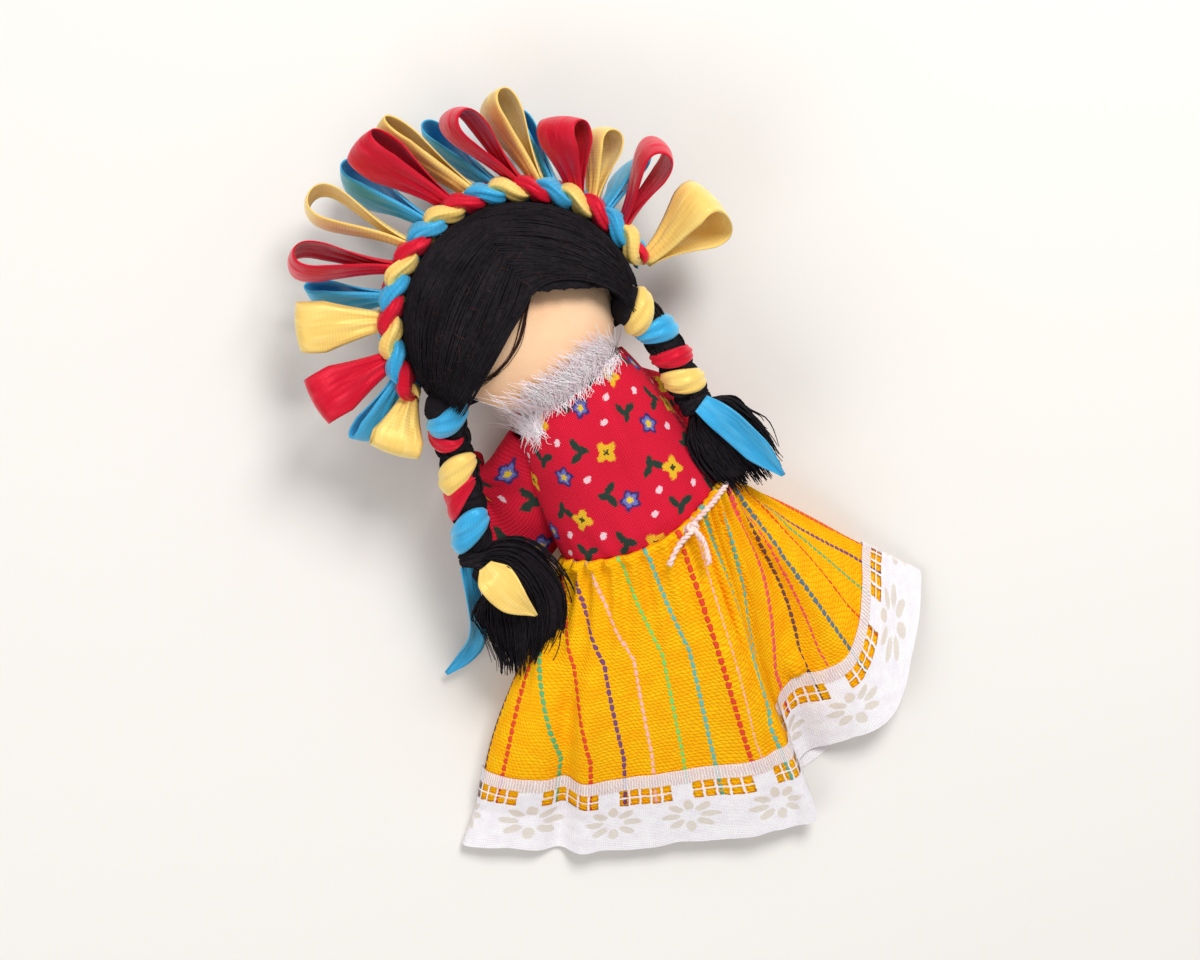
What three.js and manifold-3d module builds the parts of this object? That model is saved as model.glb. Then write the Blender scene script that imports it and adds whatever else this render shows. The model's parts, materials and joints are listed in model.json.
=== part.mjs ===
// A small cloth doll with a ribbon crown and two long braids, lying on its back with its head bowed.
// Millimetres and degrees. +X is the doll's left, +Y runs up the body to the head, +Z is up.
// The floor is Z = 0.
// The middle of the waist is over X = 0, Y = 0 while the doll is made; the last lines set the final origin.

import * as THREE from 'three';
import { mergeVertices } from 'three/addons/utils/BufferGeometryUtils.js';
import Module from 'manifold-3d';

const wasm = await Module();
wasm.setup();

// Fits and cloth.
const CLEARANCE = 0.3;
const BLOUSE_THICKNESS = 1.2;
const SKIRT_THICKNESS = 1.1;
const LACE_THICKNESS = 0.6;
const RIBBON_THICKNESS = 0.5;

// Body, measured over the blouse.
const TORSO_LENGTH = 38;
const HIP_LENGTH = 12;
const HIP_WIDTH = 28;
const HIP_DEPTH = 18;
const WAIST_WIDTH = 39;
const WAIST_DEPTH = 26;
const CHEST_WIDTH = 35;
const CHEST_DEPTH = 26;
const CHEST_PLACE = 22;
const SHOULDER_SLOPE = 8;
const COLLAR_WIDTH = 27;
const COLLAR_DEPTH = 22;
const NECK_WIDTH = 15;
const NECK_LENGTH = 3;
const TORSO_RISE = 8;
const WAIST_DIP = 5.5;
const BLOUSE_HEM = 8.5;

// Head and hair, in the head's own frame: X across, Y to the crown, Z out of the face.
const HEAD_WIDTH = 40;
const HEAD_HEIGHT = 37;
const HEAD_DEPTH = 38;
const HEAD_SINK = 3;
const HEAD_SIDEWAYS = -2.5;
const HEAD_BOW = 24;
const NOD_RANGE = 22;
const NECK_PIVOT_HEIGHT = 21;
const HAIR_SIDE = 5.8;
const HAIR_TOP = 6.8;
const HAIR_FRONT = 5.8;
const HAIR_BACK = 8.2;
const HAIR_FLATTENING = 1.2;
const HAIR_NAPE = 12;
const PARTING_X = 4;
const PARTING_LEAN = 10;
const HAIRLINE_PEAK = 15.5;
const HAIRLINE_DROP_LEFT = 13;
const HAIRLINE_DROP_RIGHT = 17;
const HAIRLINE_BEND_LEFT = [9, -3];
const HAIRLINE_BEND_RIGHT = [-12, -4];
const BRAID_ROOT_DOWN = 7.5;
const BRAID_ROOT_FORWARD = 4.5;
const BRAID_ROOT_INSET_RIGHT = 1.6;
const BRAID_ROOT_INSET_LEFT = 3.6;

// Ribbon crown.
const CROWN_TILT = 8;
const CROWN_STRAND = 2.8;
const CROWN_TWIST_RADIUS = 2.05;
const CROWN_PITCH = 19;
const CROWN_START = -2;
const CROWN_END = 186;
const CROWN_STEPS = 42;
const LOOP_RIBBON = 11;
const LOOP_GATHER = 4;
const LOOP_STEPS = 12;

// Braids, their ribbons and tassels.
const BRAID_THICKNESS = 7.4;
const BRAID_RIBBON_THICKNESS = 0.8;
const TIE_LENGTH = 3.4;
const TIE_THICKNESS = 1.3;
const TAIL_RIBBON = 8;

// Arms and sleeves.
const SHOULDER_PLACE = 10;
const SHOULDER_HEIGHT_RIGHT = 18;
const SHOULDER_HEIGHT_LEFT = 14;
const SHOULDER_INSET_RIGHT = 2.2;
const SHOULDER_INSET_LEFT = 4.6;
const SHOULDER_BALL = 12.6;
const ARM_THICKNESS = 7;
const SLEEVE_THICKNESS = 1;
const HAND_SHOW = 1.8;

// Legs.
const LEG_LENGTH = 32;
const LEG_TOP = 11;
const LEG_FOOT = 8;
const HIP_SPACING = 15;
const HIP_HEIGHT = 12;

// Skirt and its lace.
const SKIRT_LENGTH = 71;
const SKIRT_SPREAD = 114;
const SKIRT_FLATTENING = 2;
const SKIRT_ROWS = 9;
const SKIRT_STEPS = 4;
const LACE_START = 0.86;
const LACE_END = 1.15;
const LACE_ROWS = 4;
const CORD_THICKNESS = 1.6;

// Facets.
const BODY_SIDES = 24;
const LIMB_SIDES = 10;
const BALL_AROUND = 12;
const BALL_DOWN = 7;
const HEAD_AROUND = 24;
const HEAD_DOWN = 14;
const HAIR_AROUND = 28;
const HAIR_DOWN = 18;
const CROWN_AROUND = 56;
const CROWN_SIDES = 8;
const TWIST_SIDES = 5;
const CORD_SIDES = 6;
const BRAID_STEPS = 10;
const TASSEL_STEPS = 8;
const TAIL_STEPS = 12;

const rad = THREE.MathUtils.degToRad;
const vec = (x, y, z) => new THREE.Vector3(x, y, z);

// Builders.

function signedVolume(positions, index) {
  const [a, b, c] = [vec(), vec(), vec()];
  let sum = 0;
  for (let i = 0; i < index.length; i += 3) {
    a.fromArray(positions, 3 * index[i]);
    b.fromArray(positions, 3 * index[i + 1]);
    c.fromArray(positions, 3 * index[i + 2]);
    sum += a.dot(b.cross(c)) / 6;
  }
  return sum;
}

// Skins a list of rings, capped at both ends or joined end to start, with its faces out.
function loft(rings, ringed = false) {
  const count = rings[0].length;
  const positions = rings.flatMap((ring) => ring.flatMap((p) => [p.x, p.y, p.z]));
  const index = [];
  const spans = ringed ? rings.length : rings.length - 1;
  for (let r = 0; r < spans; r += 1) {
    const next = (r + 1) % rings.length;
    for (let k = 0; k < count; k += 1) {
      const right = (k + 1) % count;
      const [a, b] = [r * count + k, r * count + right];
      const [c, d] = [next * count + k, next * count + right];
      index.push(a, b, d, a, d, c);
    }
  }
  if (!ringed) {
    for (const [r, flip] of [[0, true], [rings.length - 1, false]]) {
      const middle = rings[r].reduce((sum, p) => sum.add(p), vec(0, 0, 0)).divideScalar(count);
      const centre = positions.length / 3;
      positions.push(middle.x, middle.y, middle.z);
      for (let k = 0; k < count; k += 1) {
        const [a, b] = [r * count + k, r * count + ((k + 1) % count)];
        index.push(centre, flip ? b : a, flip ? a : b);
      }
    }
  }
  if (signedVolume(positions, index) < 0) {
    index.reverse();
  }
  const geometry = new THREE.BufferGeometry();
  geometry.setAttribute('position', new THREE.Float32BufferAttribute(positions, 3));
  geometry.setIndex(index);
  geometry.computeVertexNormals();
  return geometry;
}

function oval(centre, across, up, halfWidth, halfHeight, sides) {
  const ring = [];
  for (let k = 0; k < sides; k += 1) {
    const angle = (2 * Math.PI * k) / sides;
    ring.push(centre.clone()
      .addScaledVector(across, halfWidth * Math.cos(angle))
      .addScaledVector(up, halfHeight * Math.sin(angle)));
  }
  return ring;
}

function interpolate(list, t) {
  const place = THREE.MathUtils.clamp(t, 0, 1) * (list.length - 1);
  const low = Math.min(Math.floor(place), list.length - 2);
  return THREE.MathUtils.lerp(list[low], list[low + 1], place - low);
}

// The side and top directions of a path that never runs straight up.
function pathFrame(curve, t) {
  const along = curve.getTangent(t);
  const across = vec(0, 0, 1).cross(along).normalize();
  return { along, across, top: along.clone().cross(across) };
}

// A stuffed limb, braid or tassel along hand-chosen points, with half widths and half heights along it.
function limb(points, halfWidths, halfHeights, steps, sides, from = 0, to = 1) {
  const curve = new THREE.CatmullRomCurve3(points);
  const rings = [];
  for (let i = 0; i <= steps; i += 1) {
    const t = from + ((to - from) * i) / steps;
    const { across, top } = pathFrame(curve, t);
    const [wide, high] = [interpolate(halfWidths, t), interpolate(halfHeights, t)];
    rings.push(oval(curve.getPoint(t), across, top, wide, high, sides));
  }
  return loft(rings);
}

// A sleeve-like shell along part of the same kind of path, with an inner and an outer half size.
function wrap(points, inner, outer, steps, sides, from, to) {
  const curve = new THREE.CatmullRomCurve3(points);
  const ringAt = (i, half) => {
    const t = from + ((to - from) * i) / steps;
    const { across, top } = pathFrame(curve, t);
    return oval(curve.getPoint(t), across, top, half, half, sides);
  };
  const rings = [];
  for (let i = 0; i <= steps; i += 1) {
    rings.push(ringAt(i, outer));
  }
  for (let i = steps; i >= 0; i -= 1) {
    rings.push(ringAt(i, inner));
  }
  return loft(rings, true);
}

// A flat ribbon along hand-chosen points; roll turns it about its length.
function ribbon(points, widths, rolls, steps) {
  const curve = new THREE.CatmullRomCurve3(points);
  const rings = [];
  for (let i = 0; i <= steps; i += 1) {
    const t = i / steps;
    const { along, across, top } = pathFrame(curve, t);
    const roll = rad(interpolate(rolls, t));
    across.applyAxisAngle(along, roll).multiplyScalar(interpolate(widths, t) / 2);
    top.applyAxisAngle(along, roll).multiplyScalar(RIBBON_THICKNESS / 2);
    const centre = curve.getPoint(t);
    rings.push([[1, 1], [-1, 1], [-1, -1], [1, -1]].map(([w, h]) => centre.clone()
      .addScaledVector(across, w)
      .addScaledVector(top, h)));
  }
  return loft(rings);
}

function ellipsoid(centre, radii, around, down) {
  const geometry = new THREE.SphereGeometry(1, around, down);
  return geometry.scale(radii.x, radii.y, radii.z).translate(centre.x, centre.y, centre.z);
}

function toSolid(geometry, matrix = new THREE.Matrix4()) {
  const bare = geometry.clone().applyMatrix4(matrix);
  bare.deleteAttribute('normal');
  bare.deleteAttribute('uv');
  const merged = mergeVertices(bare, 1e-4);
  return new wasm.Manifold(new wasm.Mesh({
    numProp: 3,
    vertProperties: new Float32Array(merged.attributes.position.array),
    triVerts: new Uint32Array(merged.index.array),
  }));
}

function fromSolid(solid) {
  const mesh = solid.getMesh();
  const geometry = new THREE.BufferGeometry();
  geometry.setAttribute('position', new THREE.Float32BufferAttribute(mesh.vertProperties, 3));
  geometry.setIndex(new THREE.Uint32BufferAttribute(mesh.triVerts, 1));
  geometry.computeVertexNormals();
  return geometry;
}

function cut(solid, ...tools) {
  return tools.reduce((left, tool) => left.subtract(tool), solid);
}

const FLOOR_SIZE = 400;

// Everything under the height, as one block to cut away.
function below(height) {
  return toSolid(new THREE.BoxGeometry(FLOOR_SIZE, FLOOR_SIZE, FLOOR_SIZE)
    .translate(0, 0, height - FLOOR_SIZE / 2));
}

// Materials and the scene graph.

const MATERIALS = {
  red_satin: { color: 0xc8203a, roughness: 0.38 },
  blue_satin: { color: 0x2f9ed8, roughness: 0.38 },
  yellow_satin: { color: 0xf2c452, roughness: 0.38 },
  black_yarn: { color: 0x1b1b20, roughness: 0.95 },
  skin_cloth: { color: 0xf3c49a, roughness: 0.9 },
  red_calico: { color: 0xcf1f38, roughness: 0.9 },
  skirt_weave: { color: 0xf9a915, roughness: 0.92 },
  white_lace: { color: 0xf1ecf3, roughness: 0.85 },
  pink_cord: { color: 0xf2d3cf, roughness: 0.9 },
};

const doll = new THREE.Group();

function addMesh(parent, name, geometry, material) {
  const settings = { ...MATERIALS[material], metalness: 0 };
  const mesh = new THREE.Mesh(geometry, new THREE.MeshStandardMaterial(settings));
  mesh.name = name;
  parent.add(mesh);
  return mesh;
}

// Body and blouse.

// The drawstring is the thickest thing under the back, so it sets how high the body lies.
const waistHeight = WAIST_DEPTH / 2 + CLEARANCE + CORD_THICKNESS;

const BODY_STATIONS = [
  [-HIP_LENGTH, HIP_WIDTH, HIP_DEPTH],
  [0, WAIST_WIDTH, WAIST_DEPTH],
  [CHEST_PLACE, CHEST_WIDTH, CHEST_DEPTH],
  [
    TORSO_LENGTH - SHOULDER_SLOPE,
    (2 * CHEST_WIDTH + COLLAR_WIDTH) / 3,
    (2 * CHEST_DEPTH + COLLAR_DEPTH) / 3,
  ],
  [TORSO_LENGTH, COLLAR_WIDTH, COLLAR_DEPTH],
];

// Half sizes and centre height of the dressed body at a distance up from the waist.
function bodySection(place) {
  const top = BODY_STATIONS.length - 1;
  const above = BODY_STATIONS.findIndex(([at], i) => i > 0 && (at >= place || i === top));
  const [from, to] = [BODY_STATIONS[above - 1], BODY_STATIONS[above]];
  const t = (place - from[0]) / (to[0] - from[0]);
  return {
    halfWidth: THREE.MathUtils.lerp(from[1], to[1], t) / 2,
    halfDepth: THREE.MathUtils.lerp(from[2], to[2], t) / 2,
    height: waistHeight + (TORSO_RISE * place) / TORSO_LENGTH,
  };
}

// A place on the dressed body round the waist line, which dips at the front.
function waistPoint(angle, above, reach) {
  const y = above - WAIST_DIP * Math.max(0, Math.sin(angle)) ** 2;
  const { halfWidth, halfDepth, height } = bodySection(y);
  return vec((halfWidth + reach) * Math.cos(angle), y, height + (halfDepth + reach) * Math.sin(angle));
}

function bodyRing(place, grow) {
  const { halfWidth, halfDepth, height } = bodySection(place);
  const centre = vec(0, place, height);
  return oval(centre, vec(1, 0, 0), vec(0, 0, 1), halfWidth + grow, halfDepth + grow, BODY_SIDES);
}

function bodyLoft(from, to, grow) {
  const between = BODY_STATIONS.map(([at]) => at).filter((at) => at > from && at < to);
  return [from, ...between, to].map((place) => bodyRing(place, grow));
}

const headCentre = vec(
  HEAD_SIDEWAYS,
  TORSO_LENGTH - HEAD_SINK + HEAD_HEIGHT / 2,
  HEAD_DEPTH / 2 + HAIR_BACK - HAIR_FLATTENING,
);
const headRadii = vec(HEAD_WIDTH / 2, HEAD_HEIGHT / 2, HEAD_DEPTH / 2);
const neckPivot = vec(HEAD_SIDEWAYS / 2, TORSO_LENGTH, NECK_PIVOT_HEIGHT);

const headGroup = new THREE.Group();
headGroup.position.copy(headCentre);
headGroup.rotation.x = rad(HEAD_BOW);
doll.add(headGroup);
doll.updateMatrixWorld(true);
const headMatrix = headGroup.matrixWorld.clone();

function headForm(grow) {
  return ellipsoid(vec(0, 0, 0), headRadii.clone().addScalar(grow), HEAD_AROUND, HEAD_DOWN);
}

// The room the head needs while it nods, as copies of it turned about the neck.
function noddingRoom() {
  const copies = [];
  for (const share of [0, 0.5, 1]) {
    const turn = new THREE.Matrix4().makeTranslation(neckPivot)
      .multiply(new THREE.Matrix4().makeRotationX(-rad(NOD_RANGE) * share))
      .multiply(new THREE.Matrix4().makeTranslation(neckPivot.clone().negate()))
      .multiply(headMatrix);
    copies.push(toSolid(headForm(CLEARANCE), turn));
  }
  return copies;
}

const shoulderY = TORSO_LENGTH - SHOULDER_PLACE;
const shoulderX = bodySection(shoulderY).halfWidth;
const shoulders = {
  right: vec(-shoulderX + SHOULDER_INSET_RIGHT, shoulderY, SHOULDER_HEIGHT_RIGHT),
  left: vec(shoulderX - SHOULDER_INSET_LEFT, shoulderY, SHOULDER_HEIGHT_LEFT),
};
const hipY = -HIP_LENGTH - LEG_TOP / 4;
const hips = {
  right: vec(-HIP_SPACING / 2, hipY, HIP_HEIGHT),
  left: vec(HIP_SPACING / 2, hipY, HIP_HEIGHT),
};

function ball(centre, diameter, grow) {
  const radius = diameter / 2 + grow;
  return ellipsoid(centre, vec(radius, radius, radius), BALL_AROUND, BALL_DOWN);
}

const headRoom = noddingRoom();
const armRoom = Object.values(shoulders).map((centre) => toSolid(ball(centre, SHOULDER_BALL, CLEARANCE)));
const legRoom = Object.values(hips).map((centre) => toSolid(ball(centre, LEG_TOP, CLEARANCE)));

function makeTorso() {
  const inset = -(BLOUSE_THICKNESS + CLEARANCE);
  const rings = bodyLoft(-HIP_LENGTH, TORSO_LENGTH - 2, inset);
  const { height } = bodySection(TORSO_LENGTH);
  for (const place of [TORSO_LENGTH, TORSO_LENGTH + NECK_LENGTH]) {
    const centre = vec(neckPivot.x * 0.5, place, height);
    rings.push(oval(centre, vec(1, 0, 0), vec(0, 0, 1), NECK_WIDTH / 2, NECK_WIDTH / 2, BODY_SIDES));
  }
  const torso = cut(toSolid(loft(rings)), ...headRoom, ...armRoom, ...legRoom);
  addMesh(doll, 'torso', fromSolid(torso), 'skin_cloth');
}

function makeBlouse() {
  const outer = toSolid(loft(bodyLoft(-BLOUSE_HEM, TORSO_LENGTH, 0)));
  const inner = toSolid(loft(bodyLoft(-BLOUSE_HEM - 1, TORSO_LENGTH + 1, -BLOUSE_THICKNESS)));
  const blouse = cut(outer, inner, ...headRoom, ...armRoom);
  addMesh(doll, 'blouse', fromSolid(blouse), 'red_calico');
}

// The frayed collar lies on the chin, cut from a thin skin round the face.
const COLLAR_LIFT = 0.9;
const COLLAR_SPAN = 30;
const COLLAR_RISE = 9;
const COLLAR_SWAY = 2;
const COLLAR_CORNER = 3;

function makeCollar() {
  const skin = toSolid(headForm(CLEARANCE + COLLAR_LIFT), headMatrix);
  const face = toSolid(headForm(CLEARANCE), headMatrix);
  const outline = new THREE.Shape();
  const [left, right] = [-COLLAR_SPAN / 2, COLLAR_SPAN / 2];
  outline.moveTo(left, -COLLAR_RISE);
  outline.lineTo(right, -COLLAR_RISE);
  outline.lineTo(right, COLLAR_CORNER);
  outline.quadraticCurveTo(COLLAR_SWAY, COLLAR_RISE, left, COLLAR_CORNER);
  const front = new THREE.ExtrudeGeometry(outline,
    { depth: HEAD_DEPTH, bevelEnabled: false, curveSegments: 6 })
    .translate(0, TORSO_LENGTH, neckPivot.z + HEAD_DEPTH / 4);
  const chest = toSolid(loft(bodyLoft(-BLOUSE_HEM, TORSO_LENGTH, CLEARANCE)));
  const collar = cut(skin.intersect(toSolid(front)), face, chest);
  addMesh(doll, 'collar', fromSolid(collar), 'white_lace');
}

// Head and hair.

const hairRadii = vec(
  headRadii.x + HAIR_SIDE,
  headRadii.y + HAIR_TOP,
  headRadii.z + (HAIR_FRONT + HAIR_BACK) / 2,
);
const hairCentre = vec(0, 0, (HAIR_FRONT - HAIR_BACK) / 2);
const bandRadius = CROWN_TWIST_RADIUS + CROWN_STRAND / 2;
const crownRadius = hairRadii.x + bandRadius - CLEARANCE;

const crownGroup = new THREE.Group();
crownGroup.position.copy(hairCentre);
crownGroup.rotation.x = rad(-HEAD_BOW - CROWN_TILT);
headGroup.add(crownGroup);
doll.updateMatrixWorld(true);
const crownInHead = crownGroup.matrix.clone();

function crownTube(grow) {
  return new THREE.TorusGeometry(crownRadius, bandRadius + grow, CROWN_SIDES, CROWN_AROUND);
}

// Where the braids leave the hair, in the doll's frame.
const braidRoots = {
  right: headCentre.clone()
    .add(vec(BRAID_ROOT_INSET_RIGHT - hairRadii.x, -BRAID_ROOT_DOWN, BRAID_ROOT_FORWARD)),
  left: headCentre.clone()
    .add(vec(hairRadii.x - BRAID_ROOT_INSET_LEFT, -BRAID_ROOT_DOWN, BRAID_ROOT_FORWARD)),
};

function makeHead() {
  addMesh(headGroup, 'head', headForm(0), 'skin_cloth');
}

function makeHair() {
  const toHead = headMatrix.clone().invert();
  const mass = toSolid(ellipsoid(hairCentre, hairRadii, HAIR_AROUND, HAIR_DOWN));
  const opening = new THREE.Shape();
  const sides = HEAD_WIDTH / 2 + 2;
  opening.moveTo(PARTING_X, HAIRLINE_PEAK);
  const bend = ([x, y]) => [PARTING_X + x, HAIRLINE_PEAK + y];
  opening.quadraticCurveTo(...bend(HAIRLINE_BEND_LEFT), sides, HAIRLINE_PEAK - HAIRLINE_DROP_LEFT);
  opening.lineTo(sides + HAIR_SIDE, -HAIR_NAPE / 2);
  opening.lineTo(sides + HAIR_SIDE, -HEAD_HEIGHT);
  opening.lineTo(-sides - HAIR_SIDE, -HEAD_HEIGHT);
  opening.lineTo(-sides - HAIR_SIDE, -HAIR_NAPE / 2);
  opening.lineTo(-sides, HAIRLINE_PEAK - HAIRLINE_DROP_RIGHT);
  opening.quadraticCurveTo(...bend(HAIRLINE_BEND_RIGHT), PARTING_X, HAIRLINE_PEAK);
  const window = toSolid(new THREE.ExtrudeGeometry(opening,
    { depth: HEAD_DEPTH, bevelEnabled: false, curveSegments: 8 }));
  const nape = toSolid(new THREE.BoxGeometry(HEAD_WIDTH * 2, HEAD_HEIGHT, HEAD_DEPTH * 2)
    .translate(0, -HAIR_NAPE - HEAD_HEIGHT / 2, 0));
  const groove = toSolid(crownTube(CLEARANCE), crownInHead);
  const floor = below(0).transform(toHead.elements);
  const roots = Object.values(braidRoots)
    .map((root) => toSolid(ball(root, BRAID_THICKNESS + 2 * BRAID_RIBBON_THICKNESS, 2 * CLEARANCE), toHead));
  const hair = cut(mass, toSolid(headForm(CLEARANCE)), window, nape, groove, floor, ...roots);
  for (const [name, side] of [['hair_right', -1], ['hair_left', 1]]) {
    const half = new THREE.BoxGeometry(4 * HEAD_WIDTH, 4 * HEAD_HEIGHT, 4 * HEAD_DEPTH)
      .translate(side * (2 * HEAD_WIDTH + CLEARANCE / 2), 0, 0);
    const place = new THREE.Matrix4().makeTranslation(PARTING_X, HAIRLINE_PEAK, 0)
      .multiply(new THREE.Matrix4().makeRotationZ(rad(PARTING_LEAN)));
    const piece = hair.intersect(toSolid(half, place));
    addMesh(headGroup, name, fromSolid(piece), 'black_yarn');
  }
}

// Crown: three twisted ribbons over the hair, and nineteen ribbon loops round them.

function makeCrownTwist() {
  const turns = (rad(CROWN_END - CROWN_START) * crownRadius) / CROWN_PITCH;
  ['red', 'blue', 'yellow'].forEach((colour, strand) => {
    const rings = [];
    for (let i = 0; i <= CROWN_STEPS; i += 1) {
      const t = i / CROWN_STEPS;
      const around = rad(THREE.MathUtils.lerp(CROWN_START, CROWN_END, t));
      const phase = 2 * Math.PI * (turns * t + strand / 3);
      const out = vec(Math.cos(around), Math.sin(around), 0);
      const along = vec(-Math.sin(around), Math.cos(around), 0);
      const slope = (2 * Math.PI * CROWN_TWIST_RADIUS) / CROWN_PITCH;
      const radial = out.clone().multiplyScalar(Math.cos(phase)).add(vec(0, 0, Math.sin(phase)));
      const swing = out.clone().multiplyScalar(-Math.sin(phase)).add(vec(0, 0, Math.cos(phase)));
      const centre = out.clone().multiplyScalar(crownRadius).addScaledVector(radial, CROWN_TWIST_RADIUS);
      const heading = along.addScaledVector(swing, slope).normalize();
      const across = heading.clone().cross(radial);
      rings.push(oval(centre, radial, across, CROWN_STRAND / 2, CROWN_STRAND / 2, TWIST_SIDES));
    }
    addMesh(crownGroup, `crown_twist_${colour}`, loft(rings), `${colour}_satin`);
  });
}

// One ribbon loop leaving the origin along +X, its plane turned about X by the twist.
function ribbonLoop(length, spread, twist) {
  const rings = [];
  const legGap = RIBBON_THICKNESS / 2 + CLEARANCE;
  for (let i = 0; i <= LOOP_STEPS; i += 1) {
    const t = i / LOOP_STEPS;
    const swell = Math.sin(Math.PI * t);
    const point = (s) => vec(
      length * Math.sin(Math.PI * s) ** 0.8,
      legGap * Math.cos(Math.PI * s) + spread * Math.sin(2 * Math.PI * s) * Math.sin(Math.PI * s) ** 0.6,
      0,
    );
    const step = 0.01;
    const heading = point(Math.min(t + step, 1)).sub(point(Math.max(t - step, 0))).normalize();
    const normal = vec(-heading.y, heading.x, 0);
    const width = THREE.MathUtils.lerp(LOOP_GATHER, LOOP_RIBBON, Math.min(1, 1.6 * swell)) / 2;
    const centre = point(t);
    rings.push([[1, 1], [-1, 1], [-1, -1], [1, -1]].map(([w, h]) => centre.clone()
      .addScaledVector(vec(0, 0, 1), w * width)
      .addScaledVector(normal, (h * RIBBON_THICKNESS) / 2)));
  }
  return loft(rings).rotateX(rad(twist));
}

// Each loop: colour, place round the crown, lean, lift toward the face, twist, length, half opening.
const CROWN_LOOPS = [
  ['yellow', 185, 40, 5, 80, 13, 3],
  ['blue', 176, 35, -25, 35, 17, 1.5],
  ['red', 167, 15, 15, 85, 20, 3],
  ['yellow', 151, 5, 0, 80, 20, 3],
  ['blue', 141, 10, -30, 30, 20, 2],
  ['red', 128, 20, 10, 15, 24, 3.5],
  ['yellow', 117, 10, 0, 10, 25, 4.5],
  ['blue', 105, 15, -20, 20, 24, 3],
  ['red', 93, 25, 15, 40, 25, 2.5],
  ['yellow', 82, 35, 0, 30, 26, 2],
  ['blue', 72, 40, -30, 15, 24, 2.5],
  ['red', 62, 45, 20, 15, 23, 3.5],
  ['yellow', 54, 35, 0, 25, 23, 3],
  ['blue', 48, 40, -35, 20, 21, 1.5],
  ['red', 38, 35, 20, 45, 18, 3.5],
  ['yellow', 31, 20, 0, 25, 17, 3],
  ['blue', 25, 5, -35, 20, 17, 1.5],
  ['red', 15, 20, 20, 20, 21, 3.5],
  ['yellow', 2, 10, 0, 65, 20, 5.5],
];

function makeCrownLoops() {
  const band = toSolid(crownTube(CLEARANCE));
  CROWN_LOOPS.forEach(([colour, place, lean, lift, twist, length, spread], number) => {
    const holder = new THREE.Group();
    holder.rotation.z = rad(place);
    const start = new THREE.Group();
    start.position.x = crownRadius + 1;
    start.rotation.z = rad(lean);
    const tilt = new THREE.Group();
    tilt.rotation.y = rad(-lift);
    holder.add(start);
    start.add(tilt);
    crownGroup.add(holder);
    holder.updateMatrixWorld(true);
    const local = holder.matrix.clone().multiply(start.matrix).multiply(tilt.matrix);
    const loop = cut(toSolid(ribbonLoop(length, spread, twist), local), band)
      .transform(local.clone().invert().elements);
    const name = `crown_loop_${String(number + 1).padStart(2, '0')}`;
    addMesh(tilt, name, fromSolid(loop), `${colour}_satin`);
  });
}

// Arms and sleeves. Both arms hang from balls sunk in the sides of the blouse.

const ARM_REACH = {
  right: [[0, 0, 0], [-7, -8, -4.6], [-13.5, -11, -7.2], [-22, -8, -8.6]],
  left: [[0, 0, 0], [3.5, -7, -4.4], [5.2, -14, -6.4], [5.6, -21, -7.6]],
};
const SLEEVE_HALF_WIDTHS = {
  right: [6, 10.5, 13.5, 8.8],
  left: [6, 6.2, 5.4, 5],
};
const SLEEVE_HALF_HEIGHTS = [6, 5.6, 5.2, 5];

function makeArm(side) {
  const root = shoulders[side];
  const points = ARM_REACH[side].map(([x, y, z]) => root.clone().add(vec(x, y, z)));
  const cloth = SLEEVE_THICKNESS + CLEARANCE;
  const inner = SLEEVE_HALF_WIDTHS[side].map((half) => half - cloth);
  const innerHigh = SLEEVE_HALF_HEIGHTS.map((half) => half - cloth);
  const end = points[3].clone().sub(points[2]).normalize();
  const handPoints = [...points.slice(0, 3), points[3].clone().addScaledVector(end, HAND_SHOW)];
  const hand = innerHigh.map((half) => Math.min(half, ARM_THICKNESS / 2));
  const wrist = inner.map((half) => Math.min(half, ARM_THICKNESS * 0.62));
  const body = toSolid(loft(bodyLoft(-HIP_LENGTH, TORSO_LENGTH, CLEARANCE)));
  const arm = limb(handPoints, [...wrist, wrist[3] * 0.7], [...hand, hand[3] * 0.6], 8, LIMB_SIDES, 0.12);
  const armSpace = limb(handPoints.map((p, i) => (i === 3 ? p.clone().addScaledVector(end, 1) : p)),
    [...wrist, wrist[3]].map((half) => half + CLEARANCE),
    [...hand, hand[3]].map((half) => half + CLEARANCE), 8, LIMB_SIDES, 0.1);
  const tube = limb(points, SLEEVE_HALF_WIDTHS[side], SLEEVE_HALF_HEIGHTS, 6, LIMB_SIDES + 2, 0.04);
  const shape = cut(toSolid(tube), body).add(toSolid(ball(root, SHOULDER_BALL, 0)));
  const sleeve = cut(shape, toSolid(armSpace));
  addMesh(doll, `arm_${side}`, fromSolid(cut(toSolid(arm), body)), 'skin_cloth');
  addMesh(doll, `sleeve_${side}`, fromSolid(sleeve), 'red_calico');
}

// Legs, plain stuffed limbs inside the skirt.

function makeLeg(side) {
  const root = hips[side];
  const outward = side === 'right' ? -1 : 1;
  const foot = vec(outward * 7, -LEG_LENGTH, -HIP_HEIGHT / 2 + 0.5);
  const points = [0, 0.35, 0.7, 1].map((t) => root.clone().addScaledVector(foot, t));
  const sizes = [LEG_TOP / 2, LEG_TOP / 2, LEG_FOOT / 2, LEG_FOOT / 2.6];
  const leg = toSolid(limb(points, sizes, sizes, 7, LIMB_SIDES, 0.02)).add(toSolid(ball(root, LEG_TOP, 0)));
  addMesh(doll, `leg_${side}`, fromSolid(leg), 'skin_cloth');
}

// Skirt: a gathered tube from the waist to a hem laid out in plan.
// Each key is an angle on the waist, then the hem's place as shares of the spread and the length,
// and its height.

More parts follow.
